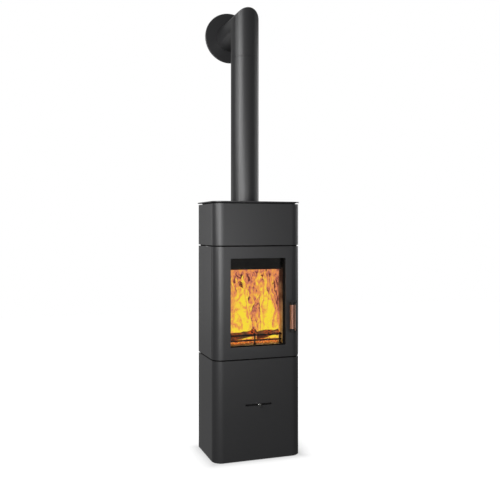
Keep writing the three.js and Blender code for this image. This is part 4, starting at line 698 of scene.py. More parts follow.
@surface
def clear_glass_ceramic(tree, place):
    """Glass ceramic, drawn as a flat pane: clear with a faint amber tint, and smooth enough to
    mirror the room at its edges. Ash dulls it in patches of about 60 mm."""
    ash = add(tree, "ShaderNodeTexNoise", {"Vector": place, "Scale": 1 / (60 * MM), "Detail": 3.0})
    rough = add(tree, "ShaderNodeMapRange", {
        "Value": ash, "From Min": 0.4, "From Max": 0.8, "To Max": 0.05,
    })
    return {"Base Color": linear(0xFFFBF4), "Roughness": rough, "IOR": 1.54, "Transmission Weight": 1.0}


@surface
def burning_beech_log(tree, place):
    """Split beech logs in the fire: brown split faces with fibres 3 mm apart along the log,
    charred black from below, with a red glow in the cracks of the char."""
    char = add(tree, "ShaderNodeAttribute", attribute_name="char")
    along = add(tree, "ShaderNodeMapping", {"Vector": place, "Scale": (30.0, 330.0, 330.0)})
    fibre = add(tree, "ShaderNodeTexNoise", {"Vector": along, "Scale": 1.0, "Detail": 4.0})
    wood = add(tree, "ShaderNodeValToRGB", {"Fac": fibre}, stops=[(0.3, 0x4A2C1A), (0.7, 0x9A6A42)])
    cracks = add(
        tree, "ShaderNodeTexVoronoi", {"Vector": place, "Scale": 1 / (14 * MM)},
        feature="DISTANCE_TO_EDGE",
    )
    tone = add(
        tree, "ShaderNodeMix", {"Factor": char.outputs["Fac"], 6: wood, 7: linear(0x0E0B0A)},
        data_type="RGBA",
    )
    open_crack = add(tree, "ShaderNodeMapRange", {
        "Value": cracks, "From Max": 0.12, "To Min": 1.0, "To Max": 0.0,
    })
    glow = add(tree, "ShaderNodeMath", (open_crack, char.outputs["Fac"]), operation="MULTIPLY")
    heat = add(
        tree, "ShaderNodeMix", {"Factor": glow, 6: linear(0x000000), 7: linear(0xFF6A1E)},
        data_type="RGBA",
    )
    relief = add(tree, "ShaderNodeBump", {"Height": fibre, "Strength": 0.6, "Distance": 1.0 * MM})
    return {
        "Base Color": tone, "Roughness": 0.85, "Normal": relief, "Emission Color": heat,
        "Emission Strength": 0.9,
    }


@surface
def glowing_charcoal(tree, place):
    """Charcoal on the grate: grey ash on black, glowing orange from within through cracks about
    6 mm apart."""
    ash = add(tree, "ShaderNodeTexNoise", {"Vector": place, "Scale": 1 / (6 * MM), "Detail": 5.0})
    tone = add(tree, "ShaderNodeValToRGB", {"Fac": ash}, stops=[(0.4, 0x120D0B), (0.7, 0x6B625B)])
    heat = add(
        tree, "ShaderNodeValToRGB", {"Fac": ash},
        stops=[(0.36, 0xFFC04A), (0.5, 0xE0541A), (0.62, 0x3A0D04), (0.7, 0x000000)],
    )
    return {"Base Color": tone, "Roughness": 0.95, "Emission Color": heat, "Emission Strength": 1.0}


def flame(tree, place, fire, cool):
    """Flames of a log fire: glowing soot, yellow where it is hottest and orange to rosy brown
    where it cools, in licks about 20 mm wide that stretch and curl upwards. cool lowers the heat
    of the whole piece."""
    heat = add(tree, "ShaderNodeAttribute", attribute_name="warmth")
    swirl = add(tree, "ShaderNodeTexNoise", {"Vector": place, "Scale": 1 / (60 * MM)})
    pushed = add(
        tree, "ShaderNodeVectorMath", (swirl.outputs["Color"], (0.09, 0.07, 0.12)), operation="MULTIPLY",
    )
    bent = add(tree, "ShaderNodeVectorMath", (place, pushed), operation="ADD")
    lick = add(tree, "ShaderNodeMapping", {
        "Vector": bent, "Scale": (1 / (20 * MM), 1 / (20 * MM), 1 / (40 * MM)),
    })
    licks = add(tree, "ShaderNodeTexNoise", {
        "Vector": lick, "Scale": 1.0, "Detail": 5.0, "Roughness": 0.55,
    })
    spread = add(tree, "ShaderNodeMapRange", {
        "Value": licks, "From Min": 0.32, "From Max": 0.68, "To Min": -0.42, "To Max": 0.34,
    })
    level = add(tree, "ShaderNodeMath", (heat.outputs["Fac"], spread), operation="ADD")
    cooled = add(tree, "ShaderNodeMath", (level, cool), operation="SUBTRACT", use_clamp=True)
    tone = add(
        tree, "ShaderNodeValToRGB", {"Fac": cooled},
        stops=[
            (0.0, 0x5A2A1C), (0.12, 0xB8665A), (0.3, 0xE88F5C), (0.5, fire.edge), (0.72, 0xFDD04A),
            (0.92, fire.core),
        ],
    )
    return {
        "Base Color": linear(0x000000), "Roughness": 1.0, "Specular IOR Level": 0.0,
        "Emission Color": tone, "Emission Strength": 1.0,
    }


@surface
def flame_at_the_back(tree, place, fire):
    """The flames along the walls, which are cooler and so darker than those in front."""
    return flame(tree, place, fire, 0.08)


@surface
def flame_over_the_logs(tree, place, fire):
    """The flames that rise from the logs, at full heat and brightest."""
    return flame(tree, place, fire, 0.0)


# ------------ casings


def seam_strip(name, bottom, material):
    """A strip of sheet in a shadow gap, set back behind the skins of the casings. Its near-black
    coat is painted shade that darkens the gap.
    """
    low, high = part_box("lower_shell")
    setback, breadth = 8 * MM, 6 * MM
    half, front = high.x - setback, low.y + setback
    corner = bpy.context.scene.stove_casing.corner - setback
    outer = deck_outline(half, front, high.y - setback, corner)
    inner = deck_outline(half - breadth, front + breadth, high.y - setback, corner - breadth)
    section = ((outer, 0.0), (outer, SEAM_STRIP), (inner, SEAM_STRIP), (inner, 0.0))
    points, loops = numbered([(x, y, bottom + rise) for x, y in line] for line, rise in section)
    faces = []
    for a, b in zip(loops, [*loops[1:], loops[0]]):
        faces += [[a[i], a[i + 1], b[i + 1], b[i]] for i in range(len(a) - 1)]
    faces += [[loop[end] for loop in loops] for end in (0, -1)]
    return dress(joined(name, [(points, faces)]), "stove", "black_steel", material)


class STOVE_OT_lower_casing(bpy.types.Operator):
    """Folds the lower casing with the air slot and finishes what stands inside it"""

    bl_idname = "stove.lower_casing"
    bl_label = "Lower casing"

    def execute(self, context):
        casing = context.scene.stove_casing
        low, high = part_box("lower_shell")
        slot_height, slot_length = 10 * MM, 141 * MM
        knob_low, knob_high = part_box("air_knob")
        slot_z = (knob_low.z + knob_high.z) / 2
        slot = box_outline(
            (-slot_length / 2, slot_z - slot_height / 2), (slot_length / 2, slot_z + slot_height / 2),
            2 * MM,
        )
        shell = joined("lower_casing", [folded_sheet(casing, low, high, casing.rear_return, [slot])])
        paint = sprayed_stove_paint(casing)
        dress(shell, "stove", "painted_steel", paint, "lower_shell")
        finish_nodes(heat_proof_black(), "base_plate", "lower_frame", "mid_deck", "air_riser", "air_box")
        finish_nodes(paint, "lower_back_panel", "air_inlet_spigot")
        finish_nodes(cold_rolled_steel(), "levelling_screw")
        # painted shade: the strip in the lower seam is coated near-black to darken the gap
        seam_strip("lower_seam_strip", high.z + SEAM_SLIT, soot_and_painted_shade_black())
        return {"FINISHED"}


class STOVE_OT_upper_casing(bpy.types.Operator):
    """Folds the upper casing, rounds the top plate and finishes what stands inside"""

    bl_idname = "stove.upper_casing"
    bl_label = "Upper casing and top plate"

    def execute(self, context):
        casing = context.scene.stove_casing
        paint = sprayed_stove_paint(casing)
        low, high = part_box("upper_shell")
        shell = joined("upper_casing", [folded_sheet(casing, low, high, casing.rear_return, [])])
        dress(shell, "stove", "painted_steel", paint, "upper_shell")

        # painted shade: the strip in the upper seam is coated near-black to darken the gap
        seam_strip("upper_seam_strip", low.z - SEAM_SLIT - SEAM_STRIP, soot_and_painted_shade_black())

        low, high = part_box("top_plate")
        pipe_low, pipe_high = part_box("flue_pipe")
        pipe_y = (pipe_low.y + pipe_high.y) / 2
        overhang = high.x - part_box("upper_shell")[1].x
        outline = deck_outline(high.x, low.y, high.y, casing.corner + overhang)
        hole_radius = pipe_high.x + 1.5 * MM
        hole = arc((0.0, pipe_y), hole_radius, 0, 360, ROUND_STEPS)[:-1]
        thickness = high.z - low.z
        plate = slab(outline, [hole], thickness, 1.2 * MM, lambda a, b, depth: (a, b, high.z - depth))
        dress(joined("top_cover", [plate]), "stove", "painted_steel", paint, "top_plate")

        finish_nodes(heat_proof_black(), "upper_deck", "upper_frame", "top_support")
        finish_nodes(paint, "upper_back_panel")
        finish_nodes(sawn_soapstone(), "storage_stone")
        return {"FINISHED"}


# ------------ fire door


def rope_growth(material):
    """A rope laid round a rectangle that stands upright, facing the front."""
    tree, given = new_growth("rope_round_window", {
        "Width": 0.3, "Height": 0.4, "Corner": 0.01, "Thickness": 0.01, "Breadth": 0.01, "Stitch": 0.004,
        "Centre": (0.0, 0.0, 0.0),
    })
    frame_line = add(tree, "GeometryNodeCurvePrimitiveQuadrilateral", {
        "Width": given["Width"], "Height": given["Height"],
    })
    cornered = add(
        tree, "GeometryNodeFilletCurve", {"Curve": frame_line, "Count": 8, "Radius": given["Corner"]},
        mode="POLY",
    )
    fine = add(
        tree, "GeometryNodeResampleCurve", {"Curve": cornered, "Length": given["Stitch"]}, mode="LENGTH",
    )
    standing = add(tree, "GeometryNodeTransform", {
        "Geometry": fine, "Translation": given["Centre"], "Rotation": (pi / 2, 0.0, 0.0),
    })
    ring = add(tree, "GeometryNodeCurvePrimitiveCircle", {"Resolution": 14, "Radius": 0.5})
    oval = add(tree, "ShaderNodeCombineXYZ", {"X": given["Breadth"], "Y": given["Thickness"], "Z": 1.0})
    section = add(tree, "GeometryNodeTransform", {"Geometry": ring, "Scale": oval})
    swept = add(tree, "GeometryNodeCurveToMesh", {"Curve": standing, "Profile Curve": section})
    return finish_growth(tree, swept, material)


def lay_rope(name, node, tree, thickness, breadth, corner):
    """Lays a rope in the space of a seal's CAD node."""
    low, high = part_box(node)
    middle = (low + high) / 2
    return grown(name, tree, {
        "Width": high.x - low.x - breadth, "Height": high.z - low.z - breadth, "Corner": corner,
        "Thickness": thickness, "Breadth": breadth, "Centre": tuple(middle),
    })


class STOVE_OT_fire_door(bpy.types.Operator):
    """Folds the fire door, cuts its window and lays the rope seals"""

    bl_idname = "stove.fire_door"
    bl_label = "Fire door"

    def execute(self, context):
        casing = context.scene.stove_casing
        paint = sprayed_stove_paint(casing)
        low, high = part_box("door_front")
        reveal_low, reveal_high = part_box("door_glass")
        glass_lap = 9.5 * MM
        window = box_outline(
            (reveal_low.x + glass_lap, reveal_low.z + glass_lap),
            (reveal_high.x - glass_lap, reveal_high.z - glass_lap), 2 * MM,
        )
        arm_low, arm_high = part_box("handle_bar")
        arm, clear = 8 * MM, 2 * MM
        slot_left, slot_right = 183 * MM, 213 * MM
        slots = [
            box_outline((slot_left, z - clear), (slot_right, z + arm + clear), clear)
            for z in (arm_low.z, arm_high.z - arm)
        ]
        parts = [folded_sheet(casing, low, high, 0.0, [window, *slots])]
        overlap, setback, bend_start = 0.5 * MM, 2 * MM, 187.5
        radius = casing.corner - casing.sheet + overlap
        for z in (low.z + setback, high.z - setback - casing.sheet):
            side = high.x - casing.corner + sqrt(radius**2 - (high.y - low.y - casing.corner) ** 2)
            left = arc((casing.corner - high.x, low.y + casing.corner), radius, bend_start, 270, BEND_STEPS)
            right = [(-x, y) for x, y in reversed(left)]
            cap = [(-side, high.y), *left, *right, (side, high.y)]
            parts.append(slab(cap, [], casing.sheet, casing.edge, lying(z)))
        dress(joined("door_skin", parts), "fire_door", "painted_steel", paint, "door_front")

        rope = knitted_glass_rope()
        tree = rope_growth(rope)
        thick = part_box("door_seal")[1].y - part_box("door_seal")[0].y
        seal = lay_rope("door_rope_seal", "door_seal", tree, thick, thick, 14 * MM)
        dress(seal, "fire_door", "rope_seal", rope, "door_seal")
        tape_low, tape_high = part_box("glass_gasket")
        tape = lay_rope("glass_rope_tape", "glass_gasket", tree, tape_high.y - tape_low.y, 8 * MM, 5 * MM)
        dress(tape, "fire_door", "rope_seal", rope, "glass_gasket")

        finish_nodes(clear_glass_ceramic(), "door_glass")
        # painted shade: the door frame, whose inside forms the window's reveal, and the glass retainer are
        # coated near-black
        finish_nodes(soot_and_painted_shade_black(), "door_frame", "glass_retainer")
        return {"FINISHED"}


# ------------ handle and air control


def coil_growth(material):
    """A wire wound in one unbroken helix that starts and ends upright."""
    tree, given = new_growth("wound_wire", {
        "Turns": 21, "Steps": 30, "Coil radius": 0.012, "Wire radius": 0.002, "Length": 0.14,
        "Straight end": 0.005, "Ease": 0.004, "Ease angle": 0.6, "Start": (0.0, 0.0, 0.0),
    })
    wound_steps = add(tree, "ShaderNodeMath", (given["Turns"], given["Steps"]), operation="MULTIPLY")
    step = add(tree, "ShaderNodeMath", (given["Length"], wound_steps), operation="DIVIDE")
    count = add(tree, "ShaderNodeMath", (wound_steps, 1.0), operation="ADD")
    rise = add(tree, "ShaderNodeCombineXYZ", {"Z": step})
    line = add(tree, "GeometryNodeMeshLine", {"Count": count, "Offset": rise}, mode="OFFSET")
    position = add(tree, "GeometryNodeInputPosition")
    height = add(tree, "ShaderNodeSeparateXYZ", {"Vector": position}).outputs["Z"]
    left_over = add(tree, "ShaderNodeMath", (given["Length"], height), operation="SUBTRACT")
    ease_end = add(tree, "ShaderNodeMath", (given["Straight end"], given["Ease"]), operation="ADD")
    wound_end = add(tree, "ShaderNodeMath", (given["Length"], ease_end), operation="SUBTRACT")
    eased = []
    for distance in (height, left_over):
        share = add(tree, "ShaderNodeMapRange", {
            "Value": distance, "From Min": given["Straight end"], "From Max": ease_end,
        })
        rest = add(tree, "ShaderNodeMath", (1.0, share), operation="SUBTRACT")
        root = add(tree, "ShaderNodeMath", (rest,), operation="SQRT")
        turn = add(tree, "ShaderNodeMath", (1.0, root), operation="SUBTRACT")
        square = add(tree, "ShaderNodeMath", (turn, turn), operation="MULTIPLY")
        eased.append(square)
    from_end = add(tree, "ShaderNodeMath", (1.0, eased[1]), operation="SUBTRACT")
    both = add(tree, "ShaderNodeMath", (eased[0], from_end), operation="ADD")
    ends = add(tree, "ShaderNodeMath", (both, given["Ease angle"]), operation="MULTIPLY")
    full = add(tree, "ShaderNodeMath", (given["Turns"], tau), operation="MULTIPLY")
    wound = add(tree, "ShaderNodeMapRange", {
        "Value": height, "From Min": ease_end, "From Max": wound_end, "To Max": full,
    })
    angle = add(tree, "ShaderNodeMath", (wound, ends), operation="ADD")
    sides = []
    for way in ("COSINE", "SINE"):
        part = add(tree, "ShaderNodeMath", (angle,), operation=way)
        out = add(tree, "ShaderNodeMath", (part, given["Coil radius"]), operation="MULTIPLY")
        sides.append(out)
    place = add(tree, "ShaderNodeCombineXYZ", {"X": sides[0], "Y": sides[1], "Z": height})
    seated = add(tree, "ShaderNodeVectorMath", (place, given["Start"]), operation="ADD")
    helix = add(tree, "GeometryNodeSetPosition", {"Geometry": line, "Position": seated})
    curve = add(tree, "GeometryNodeMeshToCurve", {"Mesh": helix})
    section = add(tree, "GeometryNodeCurvePrimitiveCircle", {
        "Resolution": 12, "Radius": given["Wire radius"],
    })
    wire = add(tree, "GeometryNodeCurveToMesh", {
        "Curve": curve, "Profile Curve": section, "Fill Caps": True,
    })
    return finish_growth(tree, wire, material)


def arm_outline(handle, shaft, pad, eye, half_width, steps=24):
    """The plan of an arm: a round pad under the coil, a narrow bar and an eye on the shaft."""
    handle, shaft = Vector(handle), Vector(shaft)
    heading = degrees(atan2(shaft.y - handle.y, shaft.x - handle.x))
    pad_half = degrees(asin(half_width / pad))
    eye_half = degrees(asin(half_width / eye))
    round_pad = arc(handle, pad, heading + pad_half, heading + 360 - pad_half, steps)
    round_eye = arc(shaft, eye, heading - 180 + eye_half, heading + 180 - eye_half, steps)
    return round_pad + round_eye


class STOVE_OT_handle(bpy.types.Operator):
    """Winds the wire coil and shapes the arms that carry it"""

    bl_idname = "stove.handle"
    bl_label = "Coil handle"

    def execute(self, context):
        sizes = context.scene.stove_handle
        casing = context.scene.stove_casing
        low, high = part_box("handle_coil")
        bar_low, bar_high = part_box("handle_bar")
        coil_radius = 12.45 * MM
        pad = coil_radius + sizes.wire + 0.5 * MM
        handle = (bar_low.x + pad, bar_low.y + pad)
        eye, half_width, bore_radius = 8.5 * MM, 4.5 * MM, 5.3 * MM
        shaft = (bar_high.x - eye, bar_high.y - eye)

        copper = drawn_copper_wire(sizes)
        coil = grown("wire_coil", coil_growth(copper), {
            "Turns": sizes.turns, "Steps": sizes.steps, "Coil radius": coil_radius,
            "Wire radius": sizes.wire, "Length": high.z - low.z, "Straight end": 2 * sizes.wire,
            "Ease": 3.8 * MM, "Ease angle": radians(35), "Start": (*handle, low.z),
        })
        dress(coil, "door_handle", "copper", copper, "handle_coil")

        thickness = 8 * MM
        outline = arm_outline(handle, shaft, pad, eye, half_width)
        bore = arc(shaft, bore_radius, 0, 360, 24)[:-1]
        parts = []
        for z in (bar_low.z, bar_high.z - thickness):
            parts.append(slab(outline, [bore], thickness, casing.edge, lying(z)))
        core = coil_radius - sizes.wire - 0.1 * MM
        rod = [
            (0.0, bar_low.z + 1 * MM), (core, bar_low.z + 1 * MM), (core, bar_high.z - 1 * MM),
            (0.0, bar_high.z - 1 * MM),
        ]
        parts.append(turned(rod, upright(*handle), 48))
        black = heat_proof_black()
        dress(joined("handle_arms_and_core", parts), "door_handle", "black_steel", black, "handle_bar")
        finish_nodes(cold_rolled_steel(), "latch_shaft")
        return {"FINISHED"}


class STOVE_OT_air_control(bpy.types.Operator):
    """Turns the knob of the air slide"""

    bl_idname = "stove.air_control"
    bl_label = "Air slide and knob"

    def execute(self, context):
        low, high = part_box("air_knob")
        middle = (low + high) / 2
        radius = (high.x - low.x) / 2
        neck = radius - 1.5 * MM
        bore = 3.3 * MM
        bore_end = high.y - 11.1 * MM
        shape = soften(
            [
                (neck, low.y), (radius, low.y + 1.5 * MM), (radius, high.y - 4 * MM),
                (neck, high.y - 2.5 * MM), (neck, high.y), (bore, high.y), (bore, bore_end),
            ],
            0.5 * MM, closed=False,
        )
        profile = [(0.0, low.y), *shape, (0.0, bore_end)]
        knob = joined("turned_knob", [turned(profile, towards_rear(middle.x, middle.z), 48)])
        steel = turned_stainless_steel((middle.x, middle.z))
        dress(knob, "air_control", "polished_steel", steel, "air_knob")
        finish_nodes(heat_proof_black(), "air_slide")
        return {"FINISHED"}


# ------------ flue


def mitred_elbow(radius, bore, pipe_y, foot, axis_z, wall_y, edge):
    """Two straight tubes that meet at a cut of 45 degrees, with slightly rounded ends. Each ring
    of the skin is a leg (0 upright, 1 the cut, 2 level), a place along it and an inset."""
    outside = [(0, foot, edge), (0, foot + edge, 0), (1, 0, 0), (2, wall_y - edge, 0), (2, wall_y, edge)]
    inside = [(2, wall_y, -edge), (2, wall_y - edge, 0), (1, 0, 0), (0, foot + edge, 0), (0, foot, -edge)]
    stretches = [(radius, line) for line in outside] + [(bore, line) for line in inside]
    rings = []
    for size, (leg, at, inset) in stretches:
        ring = []
        for across, back in arc((0.0, 0.0), size - inset, 0, 360, ROUND_STEPS)[:-1]:
            ring.append((across, at if leg == 2 else pipe_y + back, at if leg == 0 else axis_z - back))
        rings.append(ring)
    points, loops = numbered(rings)
    return points, bands([*loops, loops[0]])


class STOVE_OT_flue(bpy.types.Operator):
    """Rolls the flue pipe, cuts the elbow and spins the wall rosette"""

    bl_idname = "stove.flue"
    bl_label = "Flue"

    def execute(self, context):
        casing = context.scene.stove_casing
        paint = sprayed_stove_paint(casing)
        low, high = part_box("flue_pipe")
        radius = high.x
        wall, slit, play, rounding = 2 * MM, 0.4 * MM, 0.3 * MM, 0.5 * MM
        pipe_y = (low.y + high.y) / 2
        elbow_low, elbow_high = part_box("flue_elbow")
        joint = elbow_low.z - slit
        neck = radius - wall - play
        pipe = soften(
            [
                (radius - wall, low.z), (radius, low.z), (radius, joint), (neck, joint), (neck, high.z),
                (neck - wall, high.z), (neck - wall, joint - 3 * MM), (radius - wall, joint - 6 * MM),
            ],
            rounding,
        )
        made = joined("pipe", [turned(pipe, upright(0.0, pipe_y))])
        dress(made, "stove", "painted_steel", paint, "flue_pipe")

        axis_z = elbow_high.z - radius
        elbow = mitred_elbow(radius, radius - wall, pipe_y, elbow_low.z, axis_z, elbow_high.y, 0.4 * MM)
        dress(joined("elbow", [elbow]), "stove", "painted_steel", paint, "flue_elbow")

        low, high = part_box("wall_rosette")
        outer = high.x
        hole = radius + 0.05 * MM
        sheet, bevel, rounding = 2 * MM, 3 * MM, 1 * MM
        rosette = soften(
            [
                (hole, low.y), (outer - bevel, low.y), (outer, low.y + bevel), (outer, high.y),
                (outer - sheet, high.y), (outer - sheet, low.y + sheet), (hole + sheet, low.y + sheet),
                (hole + sheet, high.y), (hole, high.y),
            ],
            rounding,
        )
        made = joined("rosette", [turned(rosette, towards_rear(0.0, axis_z), 128)])
        dress(made, "stove", "painted_steel", paint, "wall_rosette")
        finish_nodes(sand_cast_iron(), "flue_collar")
        return {"FINISHED"}


# ------------ firebox


def guard_growth(material):
    """Two rods on a row of posts with round feet."""
    tree, given = new_growth("log_guard", {
        "Posts": 3, "Post spacing": 0.139, "Post height": 0.057, "Post radius": 0.0045,
        "Foot radius": 0.009, "Foot height": 0.004, "Rod length": 0.294, "Rod radius": 0.004,
        "Lower rod": 0.022, "Rod spacing": 0.026, "Foot": (0.0, 0.0, 0.0),
    })
    spans = add(tree, "ShaderNodeMath", (given["Posts"], 1.0), operation="SUBTRACT")
    span = add(tree, "ShaderNodeMath", (spans, given["Post spacing"]), operation="MULTIPLY")
    start = add(tree, "ShaderNodeMath", (span, -0.5), operation="MULTIPLY")
    first = add(tree, "ShaderNodeCombineXYZ", {"X": start})
    pitch = add(tree, "ShaderNodeCombineXYZ", {"X": given["Post spacing"]})
    row = add(
        tree, "GeometryNodeMeshLine", {"Count": given["Posts"], "Start Location": first, "Offset": pitch},
        mode="OFFSET",
    )
    uprights = []
    for label, height in (("Post radius", "Post height"), ("Foot radius", "Foot height")):
        post = add(tree, "GeometryNodeMeshCylinder", {
            "Vertices": 24, "Radius": given[label], "Depth": given[height],
        })
        half = add(tree, "ShaderNodeMath", (given[height], 0.5), operation="MULTIPLY")
        lift = add(tree, "ShaderNodeCombineXYZ", {"Z": half})
        standing = add(tree, "GeometryNodeTransform", {"Geometry": post, "Translation": lift})
        uprights.append(standing)
    post_and_foot = add(tree, "GeometryNodeJoinGeometry", {"Geometry": uprights})
    posts = add(tree, "GeometryNodeInstanceOnPoints", {"Points": row, "Instance": post_and_foot})
    lower = add(tree, "ShaderNodeCombineXYZ", {"Z": given["Lower rod"]})
    between = add(tree, "ShaderNodeCombineXYZ", {"Z": given["Rod spacing"]})
    levels = add(
        tree, "GeometryNodeMeshLine", {"Count": 2, "Start Location": lower, "Offset": between},
        mode="OFFSET",
    )
    rod = add(tree, "GeometryNodeMeshCylinder", {
        "Vertices": 24, "Radius": given["Rod radius"], "Depth": given["Rod length"],
    })
    rods = add(tree, "GeometryNodeInstanceOnPoints", {
        "Points": levels, "Instance": rod, "Rotation": (0.0, pi / 2, 0.0),
    })
    all_of_it = add(tree, "GeometryNodeJoinGeometry", {"Geometry": [posts, rods]})
    placed = add(tree, "GeometryNodeTransform", {"Geometry": all_of_it, "Translation": given["Foot"]})
    return finish_growth(tree, placed, material)


class STOVE_OT_firebox(bpy.types.Operator):
    """Sets the log guard and finishes the firebrick, the grate and the metalwork round them"""

    bl_idname = "stove.firebox"
    bl_label = "Firebox"

    def execute(self, context):
        iron = sand_cast_iron()
        low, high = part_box("log_guard")
        middle = (low + high) / 2
        rods_low = 22 * MM - (low.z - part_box("hearth_slab")[1].z)
        guard = grown("rods_and_posts", guard_growth(iron), {
            "Post height": high.z - low.z, "Rod length": high.x - low.x, "Rod radius": 4 * MM,
            "Lower rod": rods_low, "Foot": (middle.x, middle.y, low.z),
        })
        dress(guard, "stove", "cast_iron", iron, "log_guard")

        finish_nodes(iron, "grate")
        finish_nodes(soot_and_painted_shade_black(), "firebox", "air_wash_deflector")
        finish_nodes(heat_proof_black(), "baffle_upper", "ash_pan", "hinge_bracket")
        paint = sprayed_stove_paint(context.scene.stove_casing)
        finish_nodes(paint, "mid_side", "rear_heat_shield")
        floor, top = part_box("hearth_slab")[1].z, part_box("baffle_lower")[0].z
        finish_nodes(pressed_vermiculite(floor, top), "liner", "hearth_slab", "baffle_lower")
        finish_nodes(cold_rolled_steel(), "latch_keeper")
        return {"FINISHED"}


# ------------ fire


def split_log(centre, length, radius, heading, roll, tilt, seed):
    """A split log: bark round half of it, two rough split faces, and sawn ends. Returns its
    points, faces and how charred each point is."""
    bark_steps, split_steps, rings = 12, 6, 22
    turn = Euler([radians(angle) for angle in (roll, tilt, heading)]).to_matrix()
    bark = arc((0.0, 0.0), radius, -80, 80, bark_steps)
    pith = (-0.35 * radius, 0.0)
    shares = [i / split_steps for i in range(1, split_steps)]
    inwards = [tuple(Vector(bark[-1]).lerp(Vector(pith), share)) for share in shares]
    outwards = [tuple(Vector(pith).lerp(Vector(bark[0]), share)) for share in shares]
    section = [*bark, *inwards, pith, *outwards]
    rows, char = [], []
    for k in range(rings + 1):
        along = length * (k / rings - 0.5)
        row = []
        for a, b in section:
            rough = noise.noise(Vector((along * 25, a * 60, b * 60 + seed * 7.1)))
            swell = 1 + 0.1 * rough + 0.05 * sin(along * 18 + seed)
            local = Vector((along, a * swell, b * swell + 0.004 * sin(along * 12 + seed)))
            row.append(turn @ local + Vector(centre))
            char.append(min(1.0, max(0.0, 0.45 + 1.1 * noise.noise(local * 22 + Vector((seed, 0, 0))))))
        rows.append(row)
    points, loops = numbered(rows)
    faces = bands(loops)
    for row, loop in ((rows[0], loops[0]), (rows[-1], loops[-1])):
        faces += fan(loop, len(points))
        points.append(sum(row, Vector()) / len(row))
        char.append(1.0)
    return points, faces, char


def flame_tongue(foot, height, width, lean, hot, seed):
    """One lick of flame, from a broad foot to a point. Returns its points, faces and warmth."""
    rings, sides = 26, 16
    rows, warmth = [], []
    for k in range(rings):
        v = k / rings
        breadth = 0.5 * width * sin(pi * (0.18 + 0.82 * v) ** 0.75)
        sway = lean * v**1.5 + 0.16 * width * v * sin(5.2 * v + seed * 1.7)
        drift = 0.12 * width * sin(3.1 * v + seed * 2.3)
        twist = 0.5 * sin(2.2 * v + seed)
        row = []
        for side, depth in arc((0.0, 0.0), 1.0, 0, 360, sides)[:-1]:
            ripple = 1 + 0.35 * noise.noise(Vector((side * 1.6, depth * 1.6 + seed * 3.7, v * 5.5)))
            ripple += 0.3 * v * noise.noise(Vector((side * 2.5, seed * 2.9, v * 12)))
            x, y = breadth * ripple * side, 0.42 * breadth * ripple * depth
            across = foot[0] + x * cos(twist) - y * sin(twist) + sway
            back = foot[1] + x * sin(twist) + y * cos(twist) + drift
            row.append((across, back, foot[2] + height * v))
            warmth.append(hot - 0.34 * side**4 - 0.34 * v)
        rows.append(row)
    tip = (foot[0] + lean + 0.16 * width * sin(5.2 + seed * 1.7), foot[1], foot[2] + height)
    points, loops = numbered([*rows, [tip]])
    warmth.append(hot - 0.7)
    return points, [*bands(loops[:-1]), loops[0], *fan(loops[-2], loops[-1][0])], warmth


def flame_curtain(path, low, high, seed):
    """Flames that climb the walls: a rippled sheet along a path in plan, with a ragged top.
    Returns its points, faces and warmth."""
    rows, thick = 48, 5 * MM
    columns = len(path) - 1
    points, warmth = [], []
    for side in (0, 1):
        for k in range(rows + 1):
            v = k / rows
            for i, (x, y) in enumerate(path):
                u = i / columns
                along = Vector(path[min(i + 1, columns)]) - Vector(path[max(i - 1, 0)])
                inward = Vector((-along.y, along.x)).normalized()
                ripple = noise.noise(Vector((x * 22, y * 22 + seed, v * 3.5)))
                edge = min(1.0, 8 * min(u, 1 - u), 8 * min(v + 0.02, 1.02 - v))
                reach = (0.5 + 0.5 * ripple) * 16 * MM + (side - 0.5) * thick * edge
                ragged = 0.03 * min(0.0, noise.noise(Vector((x * 30, y * 30, seed))))
                z = low + (high - low + ragged) * v
                points.append(Vector((x + inward.x * reach, y + inward.y * reach, z)))
                warm = noise.noise(Vector((x * 11, y * 11 + seed, z * 6)))
                warmth.append(0.56 + 0.35 * warm - 0.14 * v)
    span = columns + 1
    sheet = span * (rows + 1)
    faces = []
    for side in (0, 1):
        for k in range(rows):
            for i in range(columns):
                a = side * sheet + k * span + i
                faces.append([a, a + 1, a + span + 1, a + span])
    rim = [*range(columns)]
    rim += [k * span + columns for k in range(rows)]
    rim += [rows * span + columns - i for i in range(columns)]
    rim += [(rows - k) * span for k in range(rows)]
    faces += bands([rim, [sheet + i for i in rim]])
    return points, faces, warmth


def char_flake_painted_gap(centre, length, width, lean, seed):
    """A scale of char carried up by the fire, set in front of the flames as painted shade: its
    dark face stands for a dark gap among them. Returns its points, faces and char.
    """
    turn = Euler((0.3 * seed, radians(lean), 0.2)).to_matrix()
    outline = [(0, 0.5), (0.5, 0.12), (0.22, -0.5), (-0.5, 0.02)]
    points = [turn @ Vector((a * width, 0.0, b * length)) + Vector(centre) for a, b in outline]
    points += [turn @ Vector((0.0, side * 2 * MM, 0.0)) + Vector(centre) for side in (-1, 1)]
    faces = [[i, (i + 1) % 4, tip] for i in range(4) for tip in (4, 5)]
    return points, faces, [0.55] * 6


